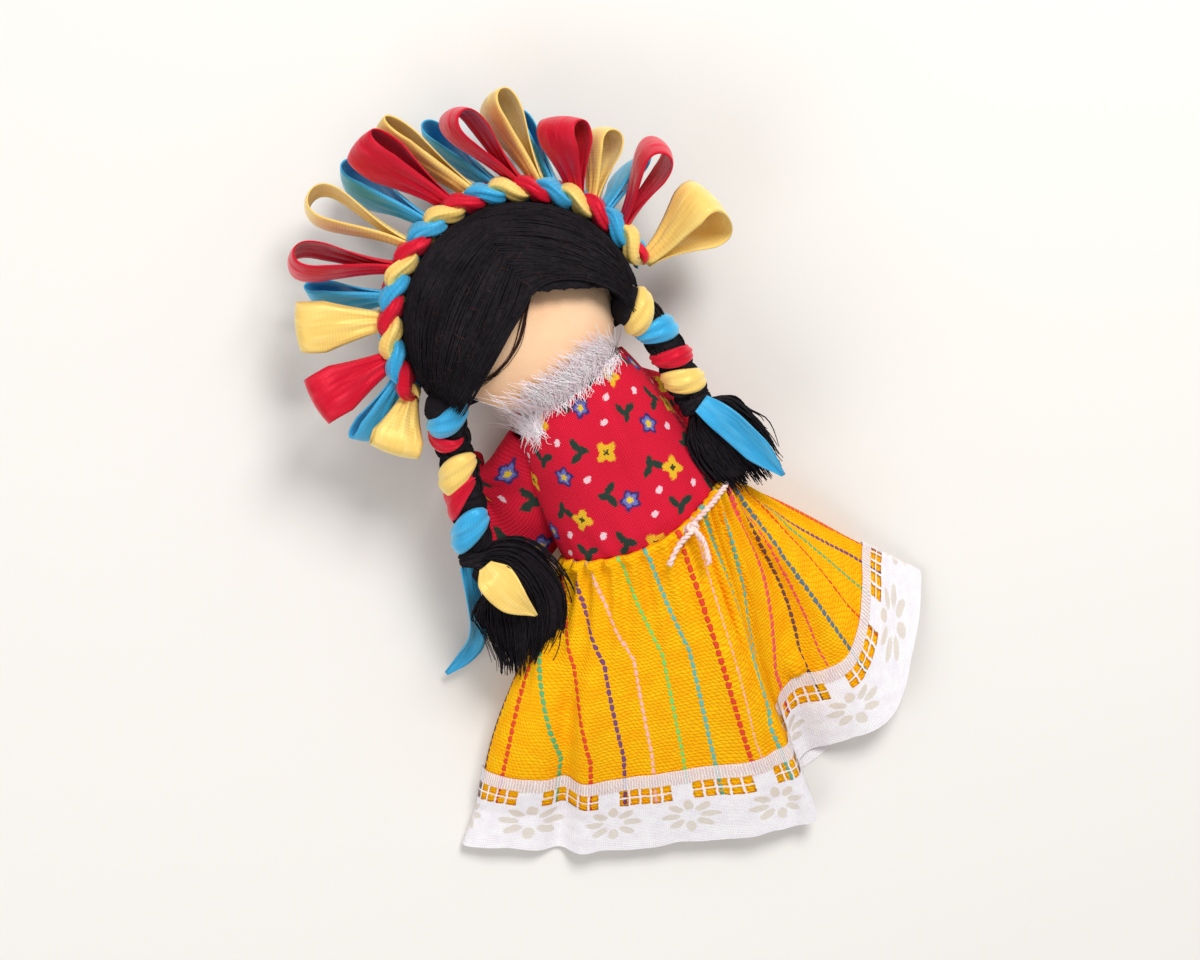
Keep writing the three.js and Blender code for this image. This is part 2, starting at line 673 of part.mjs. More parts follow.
const SKIRT_KEYS = [
  [0, 0.4, 0.515, 3.5],
  [20, 0.25, 0.83, 9],
  [42, 0.04, 0.865, 5.5],
  [62, 0.02, 1.03, 9],
  [100, -0.2, 0.915, 8],
  [140, -0.405, 0.77, 7],
  [180, -0.58, 0.59, 4],
  [216, -0.42, 0.74, -SKIRT_FLATTENING],
  [252, -0.2, 0.85, -SKIRT_FLATTENING],
  [288, 0.02, 0.88, -SKIRT_FLATTENING],
  [324, 0.24, 0.78, -SKIRT_FLATTENING],
];
const SKIRT_BULGE = 2.5;
const LACE_LIFT_START = 0.76;
const hemCurve = new THREE.CatmullRomCurve3(SKIRT_KEYS.map(([, across, down, height]) => vec(
  across * SKIRT_SPREAD,
  -down * SKIRT_LENGTH,
  height,
)), true);

function skirtPoint(around, down) {
  const place = around * SKIRT_KEYS.length;
  const low = Math.floor(place) % SKIRT_KEYS.length;
  const next = low + 1 < SKIRT_KEYS.length ? SKIRT_KEYS[low + 1][0] : 360;
  const angle = rad(THREE.MathUtils.lerp(SKIRT_KEYS[low][0], next, place - Math.floor(place)));
  const waist = waistPoint(angle, 0, CLEARANCE + SKIRT_THICKNESS);
  const bulge = SKIRT_BULGE * Math.max(0, Math.sin(angle)) * 4 * down * Math.max(0, 1 - down);
  return waist.lerp(hemCurve.getPoint(around), down).add(vec(0, 0, bulge));
}

function skirtNormal(around, down) {
  const step = 0.004;
  const sideways = skirtPoint((around + step) % 1, down).sub(skirtPoint((around - step + 1) % 1, down));
  const lengthways = skirtPoint(around, down + step).sub(skirtPoint(around, down - step));
  return sideways.cross(lengthways).normalize();
}

function skirtRing(down, grow, lowest) {
  const count = SKIRT_KEYS.length * SKIRT_STEPS;
  const ring = [];
  for (let k = 0; k < count; k += 1) {
    const point = skirtPoint(k / count, down).addScaledVector(skirtNormal(k / count, down), grow);
    point.z = Math.max(point.z, lowest);
    ring.push(point);
  }
  return ring;
}

// The upper rows of the skirt as one solid, grown by a clearance, to cut what lies on it.
function skirtBlock(rows, grow) {
  const rings = [];
  for (let i = 0; i <= rows; i += 1) {
    rings.push(skirtRing(i / SKIRT_ROWS, grow, 0));
  }
  rings.unshift(skirtRing(-0.01, grow, 0));
  return toSolid(loft(rings));
}

function makeSkirt() {
  const rings = [];
  const lift = (down) => (down > LACE_LIFT_START ? LACE_THICKNESS + CLEARANCE : 0);
  const places = [];
  for (let i = 0; i <= SKIRT_ROWS; i += 1) {
    places.push(i / SKIRT_ROWS);
  }
  for (const down of places) {
    rings.push(skirtRing(down, 0, lift(down)));
  }
  for (const down of places.reverse()) {
    rings.push(skirtRing(down, -SKIRT_THICKNESS, lift(down) + SKIRT_THICKNESS));
  }
  addMesh(doll, 'skirt', loft(rings, true), 'skirt_weave');
}

function makeLace() {
  const rings = [];
  const places = [];
  for (let i = 0; i <= LACE_ROWS; i += 1) {
    places.push(THREE.MathUtils.lerp(LACE_START, LACE_END, i / LACE_ROWS));
  }
  for (const down of places) {
    rings.push(skirtRing(down, CLEARANCE + LACE_THICKNESS, 0));
  }
  for (const down of places.reverse()) {
    rings.push(skirtRing(down, CLEARANCE, LACE_THICKNESS));
  }
  addMesh(doll, 'skirt_lace', loft(rings, true), 'white_lace');
}

// The drawstring round the waist, tied at the front with two short tails.

const CORD_KNOT_ANGLE = 66;
const CORD_KNOT = vec(1.7, 1.5, 1.3);
const CORD_TAILS = [
  [[0, -1, 0.6], [-3, -4, 0.4], [-6, -8, 0.2]],
  [[0.4, -1, 0.6], [1.6, -5, 0.2], [2, -10, -0.4]],
];

const CORD_STEPS = 36;

function cordPoint(angle) {
  const reach = CLEARANCE + CORD_THICKNESS / 2;
  return waistPoint(angle, reach, reach);
}

function cordRing(grow) {
  const rings = [];
  for (let i = 0; i < CORD_STEPS; i += 1) {
    const angle = (2 * Math.PI * i) / CORD_STEPS;
    const out = vec(Math.cos(angle), 0, Math.sin(angle));
    const half = CORD_THICKNESS / 2 + grow;
    rings.push(oval(cordPoint(angle), out, vec(0, 1, 0), half, half, CORD_SIDES));
  }
  return toSolid(loft(rings, true));
}

function makeWaistCord() {
  const knot = cordPoint(rad(CORD_KNOT_ANGLE)).add(vec(0, -0.4, CORD_THICKNESS / 2));
  const half = CORD_THICKNESS / 2;
  const tails = CORD_TAILS.map((tail) => {
    const points = tail.map(([x, y, z]) => knot.clone().add(vec(x, y, z)));
    return toSolid(limb([knot, ...points], [half, half], [half, half], CORD_SIDES, CORD_SIDES));
  });
  const bead = toSolid(ellipsoid(knot, CORD_KNOT, CORD_SIDES + 2, CORD_SIDES));
  const bow = tails.reduce((sum, tail) => sum.add(tail), bead);
  const cord = cordRing(0).add(cut(bow, skirtBlock(4, CLEARANCE)));
  addMesh(doll, 'waist_cord', fromSolid(cord), 'pink_cord');
}

// Braids: a plaited stem from the hair to a tie, ribbon wound into it, then a tassel and loose ribbon ends.
// Every point is an offset from the place where the braid leaves the hair.

const BRAIDS = {
  right: {
    stem: [[0, 0, 0], [-2, -7.5, -3.4], [-4.2, -15.5, -5.2], [-6.6, -24, -6.6], [-9.6, -31.5, -8.6]],
    ribbons: [
      ['blue', 0.02, 0.13],
      ['red', 0.16, 0.26],
      ['yellow', 0.36, 0.55],
      ['blue_low', 0.76, 0.93],
    ],
    tassel: [[-9.4, -33.5, -9.2], [-6.4, -39.5, -8.8], [-6.4, -49, -11.6], [-12.5, -60.5, -16]],
    tasselHalfWidths: [2.6, 8.2, 10.6, 6.2],
    tasselHalfHeights: [2.6, 4.8, 4.6, 3],
  },
  left: {
    stem: [[0, 0, 0], [2.2, -6.5, -2.4], [3, -13, -4], [2.8, -19, -5], [2.8, -24.3, -5.8]],
    ribbons: [
      ['yellow', 0.03, 0.2],
      ['blue', 0.23, 0.4],
      ['red', 0.48, 0.63],
      ['yellow_low', 0.69, 0.92],
    ],
    tassel: [[3, -26.3, -6.1], [3.8, -31, -6.6], [5.2, -38.5, -8.2], [6.8, -47.5, -10.4]],
    tasselHalfWidths: [2.6, 6.4, 8, 7.4],
    tasselHalfHeights: [2.6, 4.4, 4.4, 3.4],
  },
};
const TAILS = {
  ribbon_end_right_blue: {
    side: 'right',
    points: [[-15.7, -33.2, -8.2], [-17.2, -42, -13], [-20.2, -50.6, -20.6], [-30, -56.8, -27]],
    widths: [4.2, 4.8, 5, 1.6],
    rolls: [-20, -40, -30, -10],
  },
  ribbon_end_right_yellow: {
    side: 'right',
    points: [[-9, -35.5, -4.6], [-8.4, -39.2, -3.1], [-7.2, -45, -3.1], [-4.6, -50.8, -4.6]],
    widths: [3.4, TAIL_RIBBON, 6.5, 1.6],
    rolls: [5, -12, 12, 20],
  },
  ribbon_end_left_blue: {
    side: 'left',
    points: [[4, -26.6, -1.6], [7, -33.2, -0.6], [9.4, -41, -2.6], [12, -49.6, -6]],
    widths: [4.6, 6.8, 6.8, 6.4],
    rolls: [-10, 20, 15, 10],
  },
};

function fromRoot(side, points) {
  return points.map(([x, y, z]) => braidRoots[side].clone().add(vec(x, y, z)));
}

function makeBraid(side) {
  const { stem, ribbons, tassel, tasselHalfWidths, tasselHalfHeights } = BRAIDS[side];
  const points = fromRoot(side, stem);
  const half = BRAID_THICKNESS / 2;
  const yarn = toSolid(limb(points, [half, half], [half, half], BRAID_STEPS, LIMB_SIDES))
    .add(toSolid(ball(points[0], BRAID_THICKNESS, 0)));
  addMesh(doll, `braid_${side}`, fromSolid(yarn), 'black_yarn');
  const inner = half + CLEARANCE;
  for (const [name, from, to] of ribbons) {
    const band = wrap(points, inner, inner + BRAID_RIBBON_THICKNESS, 2, LIMB_SIDES, from, to);
    addMesh(doll, `braid_${side}_ribbon_${name}`, band, `${name.split('_')[0]}_satin`);
  }
  const curve = new THREE.CatmullRomCurve3(points);
  const along = curve.getTangent(1);
  const end = curve.getPoint(1);
  const tieEnd = end.clone().addScaledVector(along, TIE_LENGTH);
  const tieStart = end.clone().addScaledVector(along, CLEARANCE);
  const tiePoints = [0, 0.35, 0.65, 1].map((t) => tieStart.clone().lerp(tieEnd, t));
  const tieHalf = [half - 1, half - 1 + TIE_THICKNESS, half - 1 + TIE_THICKNESS, half - 1];
  addMesh(doll, `tie_${side}`, limb(tiePoints, tieHalf, tieHalf, 5, LIMB_SIDES), 'black_yarn');
  const body = toSolid(loft(bodyLoft(-HIP_LENGTH, TORSO_LENGTH, CLEARANCE)));
  const strands = [tieEnd.clone().addScaledVector(along, CLEARANCE), ...fromRoot(side, tassel).slice(1)];
  const brush = toSolid(limb(strands, tasselHalfWidths, tasselHalfHeights, TASSEL_STEPS, LIMB_SIDES));
  const tieRoom = tieHalf.map((size) => size + CLEARANCE);
  const tie = toSolid(limb(tiePoints, tieRoom, tieRoom, 5, LIMB_SIDES));
  const under = skirtBlock(6, CLEARANCE);
  const cordRoom = cordRing(CLEARANCE);
  addMesh(doll, `tassel_${side}`, fromSolid(cut(brush, under, body, tie, cordRoom)), 'black_yarn');
}

function makeTails() {
  for (const [name, { side, points, widths, rolls }] of Object.entries(TAILS)) {
    const strip = ribbon(fromRoot(side, points), widths, rolls, TAIL_STEPS);
    addMesh(doll, name, strip, `${name.split('_').pop()}_satin`);
  }
}

makeTorso();
makeBlouse();
makeCollar();
makeHead();
makeHair();
makeCrownTwist();
makeCrownLoops();
makeArm('right');
makeArm('left');
makeLeg('right');
makeLeg('left');
makeSkirt();
makeLace();
makeWaistCord();
makeBraid('right');
makeBraid('left');
makeTails();

const whole = new THREE.Box3().setFromObject(doll, true);
doll.position.set(-(whole.min.x + whole.max.x) / 2, -(whole.min.y + whole.max.y) / 2, -whole.min.z);

export default doll;
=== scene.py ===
# %% [markdown]
# A small cloth doll lies on its back, with ribbons plaited over its head. This lesson dresses the
# doll's plain solids, piece by piece, with cloth, yarn, satin and lace. The solids are loaded
# first and stay where they are. Each new piece is made in the same place and takes over from the
# solid that it stands for.

# %% Load the doll's solids
import json
import random
from math import atan2, cos, floor, pi, radians, sin, sqrt

import bmesh
import bpy
from mathutils import Matrix, Vector, noise


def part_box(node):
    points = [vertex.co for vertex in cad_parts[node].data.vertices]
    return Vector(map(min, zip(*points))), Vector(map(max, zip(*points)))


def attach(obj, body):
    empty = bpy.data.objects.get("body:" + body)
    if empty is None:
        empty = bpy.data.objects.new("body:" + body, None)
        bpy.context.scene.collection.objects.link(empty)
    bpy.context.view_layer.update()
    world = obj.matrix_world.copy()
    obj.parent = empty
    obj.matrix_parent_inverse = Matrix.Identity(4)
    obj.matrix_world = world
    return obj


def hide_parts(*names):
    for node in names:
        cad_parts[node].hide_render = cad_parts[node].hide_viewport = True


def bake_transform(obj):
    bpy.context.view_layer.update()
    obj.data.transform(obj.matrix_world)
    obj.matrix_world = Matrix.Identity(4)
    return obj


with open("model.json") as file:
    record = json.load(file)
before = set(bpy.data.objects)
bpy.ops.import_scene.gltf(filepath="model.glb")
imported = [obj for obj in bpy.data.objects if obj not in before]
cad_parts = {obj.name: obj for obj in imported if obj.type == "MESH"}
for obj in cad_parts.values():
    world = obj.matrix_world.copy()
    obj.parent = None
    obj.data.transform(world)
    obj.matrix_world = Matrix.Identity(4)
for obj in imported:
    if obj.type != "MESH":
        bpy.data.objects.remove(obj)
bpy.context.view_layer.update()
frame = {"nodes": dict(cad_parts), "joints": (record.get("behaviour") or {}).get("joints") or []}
MM = 0.001
random.seed(16)

# %% [markdown]
# The doll is easiest to think about in its own millimetres: X across the body, Y from the waist up
# to the head, Z out of its front. The hinges of the loaded doll say where the neck, shoulders,
# hips and braid roots are, so every new piece starts from them.

# %% Places on the doll
hinges = {joint["name"]: Vector(joint["pos_m"]) for joint in frame["joints"]}
NECK = Vector((-1.25, 38, 21))
waist = hinges["neck_nod"] - NECK * MM


def at(point):
    """A point in the doll's millimetres, as a point of the scene in metres."""
    return waist + Vector(point) * MM


def doll_place(name):
    return (hinges[name] - waist) / MM


SHOULDERS = {side: doll_place(f"shoulder_{side}") for side in ("right", "left")}
HIPS = {side: doll_place(f"hip_{side}") for side in ("right", "left")}
ROOTS = {side: doll_place(f"braid_{side}_lift") for side in ("right", "left")}
head_low, head_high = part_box("head")
HEAD_CENTRE = ((head_low + head_high) / 2 - waist) / MM
HEAD_RADII = Vector((20, 18.5, 19))
HEAD_BOW = radians(24)
HAIR_RADII = Vector((25.8, 25.3, 26))
HAIR_CENTRE = Vector((0, 0, -1.2))
CROWN_RADIUS = 28.95
HEAD = Matrix.Translation(HEAD_CENTRE) @ Matrix.Rotation(HEAD_BOW, 4, "X")
HAIR = HEAD @ Matrix.Translation(HAIR_CENTRE)
CROWN = HAIR @ Matrix.Rotation(-HEAD_BOW - radians(8), 4, "X")
print("head centre:", [round(value, 2) for value in HEAD_CENTRE])

# %% [markdown]
# The camera looks nearly straight down, leaning a little towards the head, with the doll lying
# aslant in the picture. It is placed so that one point, the front of the waist, falls on the
# pixel where the photograph shows it.

# %% Camera
PHOTO_WIDTH, PHOTO_HEIGHT = 1200, 960
LENS, SENSOR = 85, 36
PIXELS_PER_MM = 4.5
WAIST_FRONT = Vector((0, 0, 28))
WAIST_PIXEL = (650, 530)
CAMERA_LEAN, CAMERA_ROLL = radians(8), radians(28.7)


def make_camera():
    focal = LENS / SENSOR * PHOTO_WIDTH
    distance = focal / PIXELS_PER_MM
    back = Vector((0, sin(CAMERA_LEAN), cos(CAMERA_LEAN)))
    level_up = Vector((0, cos(CAMERA_LEAN), -sin(CAMERA_LEAN)))
    level_right = level_up.cross(back)
    right = level_right * cos(CAMERA_ROLL) - level_up * sin(CAMERA_ROLL)
    up = level_right * sin(CAMERA_ROLL) + level_up * cos(CAMERA_ROLL)
    aside = (WAIST_PIXEL[0] - PHOTO_WIDTH / 2) / PIXELS_PER_MM
    above = (PHOTO_HEIGHT / 2 - WAIST_PIXEL[1]) / PIXELS_PER_MM
    place = at(WAIST_FRONT - right * aside - up * above + back * distance)
    data = bpy.data.cameras.new("camera")
    data.lens, data.sensor_width = LENS, SENSOR
    camera = bpy.data.objects.new("camera", data)
    turn = Matrix((right, up, back)).transposed().to_4x4()
    camera.matrix_world = Matrix.Translation(place) @ turn
    bpy.context.scene.collection.objects.link(camera)
    bpy.context.scene.camera = camera
    return camera


camera = make_camera()
print("camera at:", [round(value, 3) for value in camera.location])

# %% [markdown]
# The doll lies on a pale, plain floor in soft daylight. One large lamp above and to the right gives
# the satin its highlights, a weaker one fills the other side, and the world does the rest. For
# each lamp the table gives its place in metres, its power in watts and its size.

# %% Floor and light
FLOOR_SIZE = 6
FLOOR_COLOUR = (0.83, 0.80, 0.76, 1)
FLOOR_ROUGHNESS = 0.9
WORLD_STRENGTH = 0.45
LAMPS = (
    ("window", (0.45, 0.42, 0.75), 7.0, 0.35),
    ("fill", (-0.6, -0.1, 0.6), 2.2, 0.6),
)


def link(piece):
    bpy.context.scene.collection.objects.link(piece)
    return piece


def make_floor():
    mesh = bpy.data.meshes.new("floor")
    bm = bmesh.new()
    bmesh.ops.create_grid(bm, x_segments=1, y_segments=1, size=FLOOR_SIZE / 2)
    bm.to_mesh(mesh)
    bm.free()
    floor_piece = link(bpy.data.objects.new("floor", mesh))
    material = bpy.data.materials.new("floor_paint")
    material.use_nodes = True
    shader = material.node_tree.nodes["Principled BSDF"]
    shader.inputs["Base Color"].default_value = FLOOR_COLOUR
    shader.inputs["Roughness"].default_value = FLOOR_ROUGHNESS
    mesh.materials.append(material)


def make_lamp(name, place, power, size):
    data = bpy.data.lights.new(name, "AREA")
    data.energy, data.size = power, size
    lamp = link(bpy.data.objects.new(name, data))
    lamp.location = place
    lamp.rotation_euler = (at(WAIST_FRONT) - lamp.location).to_track_quat("-Z", "Y").to_euler()


def make_world():
    world = bpy.data.worlds.new("daylight")
    world.use_nodes = True
    sky = world.node_tree.nodes["Background"]
    sky.inputs["Color"].default_value = (1, 1, 1, 1)
    sky.inputs["Strength"].default_value = WORLD_STRENGTH
    bpy.context.scene.world = world


make_floor()
make_world()
for lamp_values in LAMPS:
    make_lamp(*lamp_values)
bpy.context.scene.view_settings.view_transform = "Standard"
print("lamps:", [(name, power) for name, _, power, _ in LAMPS])

# %% [markdown]
# Materials are built from nodes. A wire is the output of one node: it can be added, multiplied and
# so on as a number can, and each sum makes the node that does it. So the recipes below read like
# the finish that they describe.

# %% Wires between nodes
class Wire:
    """One output of a node, which works in sums as a number does."""

    def __init__(self, tree, socket):
        self.tree, self.socket = tree, socket

    def do(self, operation, *values):
        return node(self.tree, "Math", dict(enumerate((self, *values))), operation=operation)

    def __add__(self, other):
        return self.do("ADD", other)

    def __sub__(self, other):
        return self.do("SUBTRACT", other)

    def __rsub__(self, other):
        return node(self.tree, "Math", {0: other, 1: self}, operation="SUBTRACT")

    def __mul__(self, other):
        return self.do("MULTIPLY", other)

    def __truediv__(self, other):
        return self.do("DIVIDE", other)

    def __mod__(self, other):
        return self.do("MODULO", other)

    def __abs__(self):
        return self.do("ABSOLUTE")

    def parts(self):
        """The parts along X and Y of a wire that carries a place."""
        made = self.tree.nodes.new("ShaderNodeSeparateXYZ")
        put(self.tree, made.inputs[0], self)
        return Wire(self.tree, made.outputs[0]), Wire(self.tree, made.outputs[1])


def put(tree, socket, value):
    """Gives an input a plain value, or links it to a wire."""
    if isinstance(value, Wire):
        tree.links.new(value.socket, socket)
    else:
        socket.default_value = value


def node(tree, kind, inputs=None, output=0, **settings):
    """A new node with its inputs filled; the wire from one of its outputs comes back."""
    made = tree.nodes.new("ShaderNode" + kind)
    for name, value in settings.items():
        setattr(made, name, value)
    for key, value in (inputs or {}).items():
        put(tree, made.inputs[key], value)
    return Wire(tree, made.outputs[output])


print("sums of wires:", [name.strip("_") for name in vars(Wire) if name.endswith("__")][1:])

# %% [markdown]
# A few sums come back in nearly every finish: a mask that is soft at its edge, a mix of two
# colours, cloudy patches, and a place that strays a little.

# %% Masks and colours
def vectors(operation, first, second):
    return node(first.tree, "VectorMath", {0: first, 1: second}, operation=operation)


def length(vector):
    return node(vector.tree, "VectorMath", {0: vector}, "Value", operation="LENGTH")


def most(masks):
    result = masks[0]
    for mask in masks[1:]:
        result = result.do("MAXIMUM", mask)
    return result


def blend(share, first, second):
    """A colour between two, share of the way to the second."""
    return node(share.tree, "Mix", {0: share, 6: first, 7: second}, 2, data_type="RGBA")


def band(wire, low, high):
    """0 below low, 1 above high and smooth between, or the other way round."""
    return node(wire.tree, "MapRange", {0: wire, 1: low, 2: high}, interpolation_type="SMOOTHSTEP")


def cloudy(place, scale, detail, output=0):
    return node(place.tree, "TexNoise", {"Vector": place, "Scale": scale, "Detail": detail}, output)


def astray(place, scale, detail, reach):
    """A place moved about softly, by up to half of reach."""
    middle = vectors("SUBTRACT", cloudy(place, scale, detail, "Color"), (0.5, 0.5, 0.5))
    shift = node(place.tree, "VectorMath", {0: middle, "Scale": reach}, operation="SCALE")
    return vectors("ADD", place, shift)


def srgb(red, green, blue):
    """A colour as a screen shows it, 0 to 255, as the linear values that Blender mixes."""
    shares = (red / 255, green / 255, blue / 255)
    return tuple(c / 12.92 if c < 0.04045 else ((c + 0.055) / 1.055) ** 2.4 for c in shares) + (1,)


print("middle grey, as Blender mixes it:", round(srgb(128, 128, 128)[0], 3))

# %% [markdown]
# A material starts with its roughness and ends with a colour and with dents. What more than one
# of them uses becomes a node group, which is written as a function from its inputs to its outputs.

# %% Materials and groups
def new_group(name, inputs, make):
    """A group with inputs (name, kind, value), whose outputs are what make gives by name."""
    group = bpy.data.node_groups.new(name, "ShaderNodeTree")
    for socket, kind, value in inputs:
        made = group.interface.new_socket(socket, in_out="INPUT", socket_type="NodeSocket" + kind)
        if value is not None:
            made.default_value = value
    entry = group.nodes.new("NodeGroupInput").outputs
    results = make(*[Wire(group, entry[k]) for k in range(len(inputs))])
    for socket in results:
        group.interface.new_socket(socket, in_out="OUTPUT", socket_type="NodeSocketFloat")
    way_out = group.nodes.new("NodeGroupOutput").inputs
    for socket, wire in results.items():
        put(group, way_out[socket], wire)
    return group


def use_group(tree, group, **inputs):
    made = tree.nodes.new("ShaderNodeGroup")
    made.node_tree = group
    for key, value in inputs.items():
        put(tree, made.inputs[key], value)
    return {socket.name: Wire(tree, socket) for socket in made.outputs}


def new_material(name, roughness, **settings):
    material = bpy.data.materials.new(name)
    material.use_nodes = True
    shader = material.node_tree.nodes["Principled BSDF"]
    shader.inputs["Roughness"].default_value = roughness
    for key, value in settings.items():
        shader.inputs[key.replace("_", " ")].default_value = value
    return material, material.node_tree, shader


def finish(shader, colour, height, depth, strength):
    """Gives a shader its colour and its dents, whose depth is in metres."""
    tree = colour.tree
    bump = node(tree, "Bump", {"Height": height, "Distance": depth, "Strength": strength})
    put(tree, shader.inputs["Base Color"], colour)
    put(tree, shader.inputs["Normal"], bump)


def cloth_place(tree):
    """The piece's own map, in millimetres across and along the cloth."""
    return node(tree, "UVMap", uv_map="UVMap")


def object_place(tree):
    return node(tree, "TexCoord", output="Object")


print("materials so far:", len(bpy.data.materials))

# %% [markdown]
# Woven cloth is threads going over and under each other. The weave group draws them from the
# cloth's own map: every other crossing shows the thread that runs across, the rest the thread
# that runs along. It is one group, used by every woven cloth at its own pitch. Satin ribbon is
# smooth, with very fine threads across it, and keeps soft creases along its length where it has
# been tied. Felted yarn has a fine fuzz, thicker in some places.

# %% Weave, satin and yarn groups
RIB_PITCH = 0.6


def weave(place, pitch, waver, slant):
    straight, down = astray(place, 0.35, 2, waver).parts()
    along = down / pitch
    across = along * slant + straight / pitch
    over = abs(across.do("FLOOR") + along.do("FLOOR")) % 2
    warp, weft = [abs((wire * pi).do("SINE")) for wire in (across, along)]
    warp_part = warp * over * weft.do("SQRT")
    weft_part = weft * (1 - over) * warp.do("SQRT")
    return {"Height": warp_part + weft_part}


def satin_creases(place):
    tree = place.tree
    creases = cloudy(node(tree, "Mapping", {"Vector": place, "Scale": (0.34, 0.07, 1)}), 1.0, 2)
    fine = cloudy(node(tree, "Mapping", {"Vector": place, "Scale": (0.3, 2.6, 1)}), 1.0, 1)
    ribs = (place.parts()[1] * (2 * pi / RIB_PITCH)).do("SINE")
    # Shade, the creases, is where the satin paints its sheen lighter.
    return {"Height": creases + fine * 0.1, "Shade": creases, "Ribs": ribs}


def yarn_fuzz(place, size):
    fuzz = cloudy(place, size, 4)
    return {"Height": fuzz, "Shade": fuzz * cloudy(place, 160, 2)}


PLACE = ("Vector", "Vector", None)
WEAVE_INPUTS = [PLACE, ("Pitch", "Float", 0.7), ("Waver", "Float", 0.1), ("Slant", "Float", 0.0)]
WEAVE_GROUP = new_group("weave", WEAVE_INPUTS, weave)
SATIN_GROUP = new_group("satin_creases", [PLACE], satin_creases)
YARN_GROUP = new_group("yarn_fuzz", [PLACE, ("Size", "Float", 900.0)], yarn_fuzz)
print("groups:", [group.name for group in bpy.data.node_groups])

# %% [markdown]
# Satin is painted lighter where it turns away from the eye and along its creases, a painted sheen, and
# painted darker in its fine grooves, a painted shade. Yarn is matt and nearly black, with lighter
# fuzz. The body's cotton is finely woven and blushes in patches.

# %% Satin, yarn and skin materials
def make_satin(name, colour, sheen_colour):
    """Satin ribbon: colour is the cloth straight on, sheen_colour a painted sheen where it turns away
    and along its creases, which also tints its highlights.
    """
    material, tree, shader = new_material(
        name, 0.38, Specular_IOR_Level=0.62, Specular_Tint=sheen_colour, Anisotropic=0.6
    )
    creases = use_group(tree, SATIN_GROUP, Vector=cloth_place(tree))
    # Painted sheen: the colour turns lighter where the ribbon faces away from the eye and along its
    # creases.
    turned = node(tree, "LayerWeight", {"Blend": 0.45}, "Facing")
    share = band(turned, 0.15, 0.9) * 0.5 + band(creases["Shade"], 0.4, 0.75) * 0.3
    # Painted shade: the fine grooves between the threads across the ribbon are darkened.
    groove_shade = tuple(0.45 * value for value in colour[:3]) + (1,)
    groove_shade_share = band(creases["Ribs"], 0.2, 1.0) * 0.16
    finish(shader, blend(groove_shade_share, blend(share, colour, sheen_colour), groove_shade), creases["Height"], 0.0012, 0.6)
    return material


def make_yarn(name, colour, light):
    material, tree, shader = new_material(name, 0.95, Specular_IOR_Level=0.06)
    fuzz = use_group(tree, YARN_GROUP, Vector=object_place(tree))
    finish(shader, blend(fuzz["Shade"] * 1.3, colour, light), fuzz["Height"], 0.0005, 0.7)
    return material


def make_skin():
    material, tree, shader = new_material("peach_cotton", 0.85, Sheen_Weight=0.15)
    height = use_group(tree, WEAVE_GROUP, Vector=cloth_place(tree), Pitch=0.32, Waver=0.2)["Height"]
    blush = band(cloudy(object_place(tree), 45, 3), 0.35, 0.7)
    finish(shader, blend(blush, srgb(255, 212, 170), srgb(250, 198, 154)), height, 0.00012, 0.5)
    return material


def make_mottled(name, roughness, sheen, scale, low, pale, deep, depth, strength):
    """Thread of two close colours in small patches."""
    material, tree, shader = new_material(name, roughness, Sheen_Weight=sheen)
    patches = cloudy(object_place(tree), scale, 3)
    finish(shader, blend(band(patches, low, 1 - low), pale, deep), patches, depth, strength)
    return material


# The second colour of each satin is its painted sheen, which also tints its highlights.
SATIN = {
    "red": make_satin("red_satin", srgb(202, 24, 46), srgb(244, 76, 96)),
    "blue": make_satin("blue_satin", srgb(58, 164, 216), srgb(132, 216, 250)),
    "yellow": make_satin("yellow_satin", srgb(245, 204, 110), srgb(255, 240, 168)),
}
BROWN_YARN = make_yarn("brown_yarn", srgb(34, 22, 22), srgb(96, 62, 56))
BLACK_YARN = make_yarn("black_yarn", srgb(19, 17, 20), srgb(54, 49, 54))
PEACH = make_skin()
print("materials:", len(bpy.data.materials))

# %% [markdown]
# Most of the doll is cloth that wraps round something. One helper makes all of it: a flat grid of
# cells is created, its map is written in millimetres, each corner is moved to its place on the
# piece, and the edges that meet are merged. What differs from piece to piece is only the rule
# that says where a point of the flat cloth goes.


# %% Wrapping a grid of cloth
MERGE = 0.00001


def thicken(piece, thickness, offset=-1):
    """Gives flat cloth a thickness in millimetres; offset 0 keeps the cloth in its middle."""
    shell = piece.modifiers.new("thickness", "SOLIDIFY")
    shell.thickness, shell.offset = thickness * MM, offset


def wrap(name, place, cells, size, material, thickness=0.0):
    """Flat cloth of size (mm) in cells (across, along), moved by place(u, v), both 0 to 1."""
    mesh = bpy.data.meshes.new(name)
    bm = bmesh.new()
    bmesh.ops.create_grid(bm, x_segments=cells[0], y_segments=cells[1], size=0.5)
    layer = bm.loops.layers.uv.new("UVMap")
    for face in bm.faces:
        face.smooth = True
        for loop in face.loops:
            u, v = loop.vert.co.x + 0.5, loop.vert.co.y + 0.5
            loop[layer].uv = (u * size[0], v * size[1])
    for vert in bm.verts:
        vert.co = at(place(vert.co.x + 0.5, vert.co.y + 0.5))
    bmesh.ops.remove_doubles(bm, verts=bm.verts, dist=MERGE)
    if all(edge.is_manifold for edge in bm.edges):
        bmesh.ops.recalc_face_normals(bm, faces=bm.faces)
    bm.to_mesh(mesh)
    bm.free()
    mesh.materials.append(material)
    piece = link(bpy.data.objects.new(name, mesh))
    if thickness:
        thicken(piece, thickness, 0)
    return piece


def warp_map(piece, rule):
    """Bends the map of a piece that was wrapped with size 1: rule(u, v) gives the millimetres."""
    known = {}
    for loop in piece.data.uv_layers["UVMap"].data:
        place = tuple(round(value, 5) for value in loop.uv)
        if place not in known:
            known[place] = rule(*place)
        loop.uv = known[place]


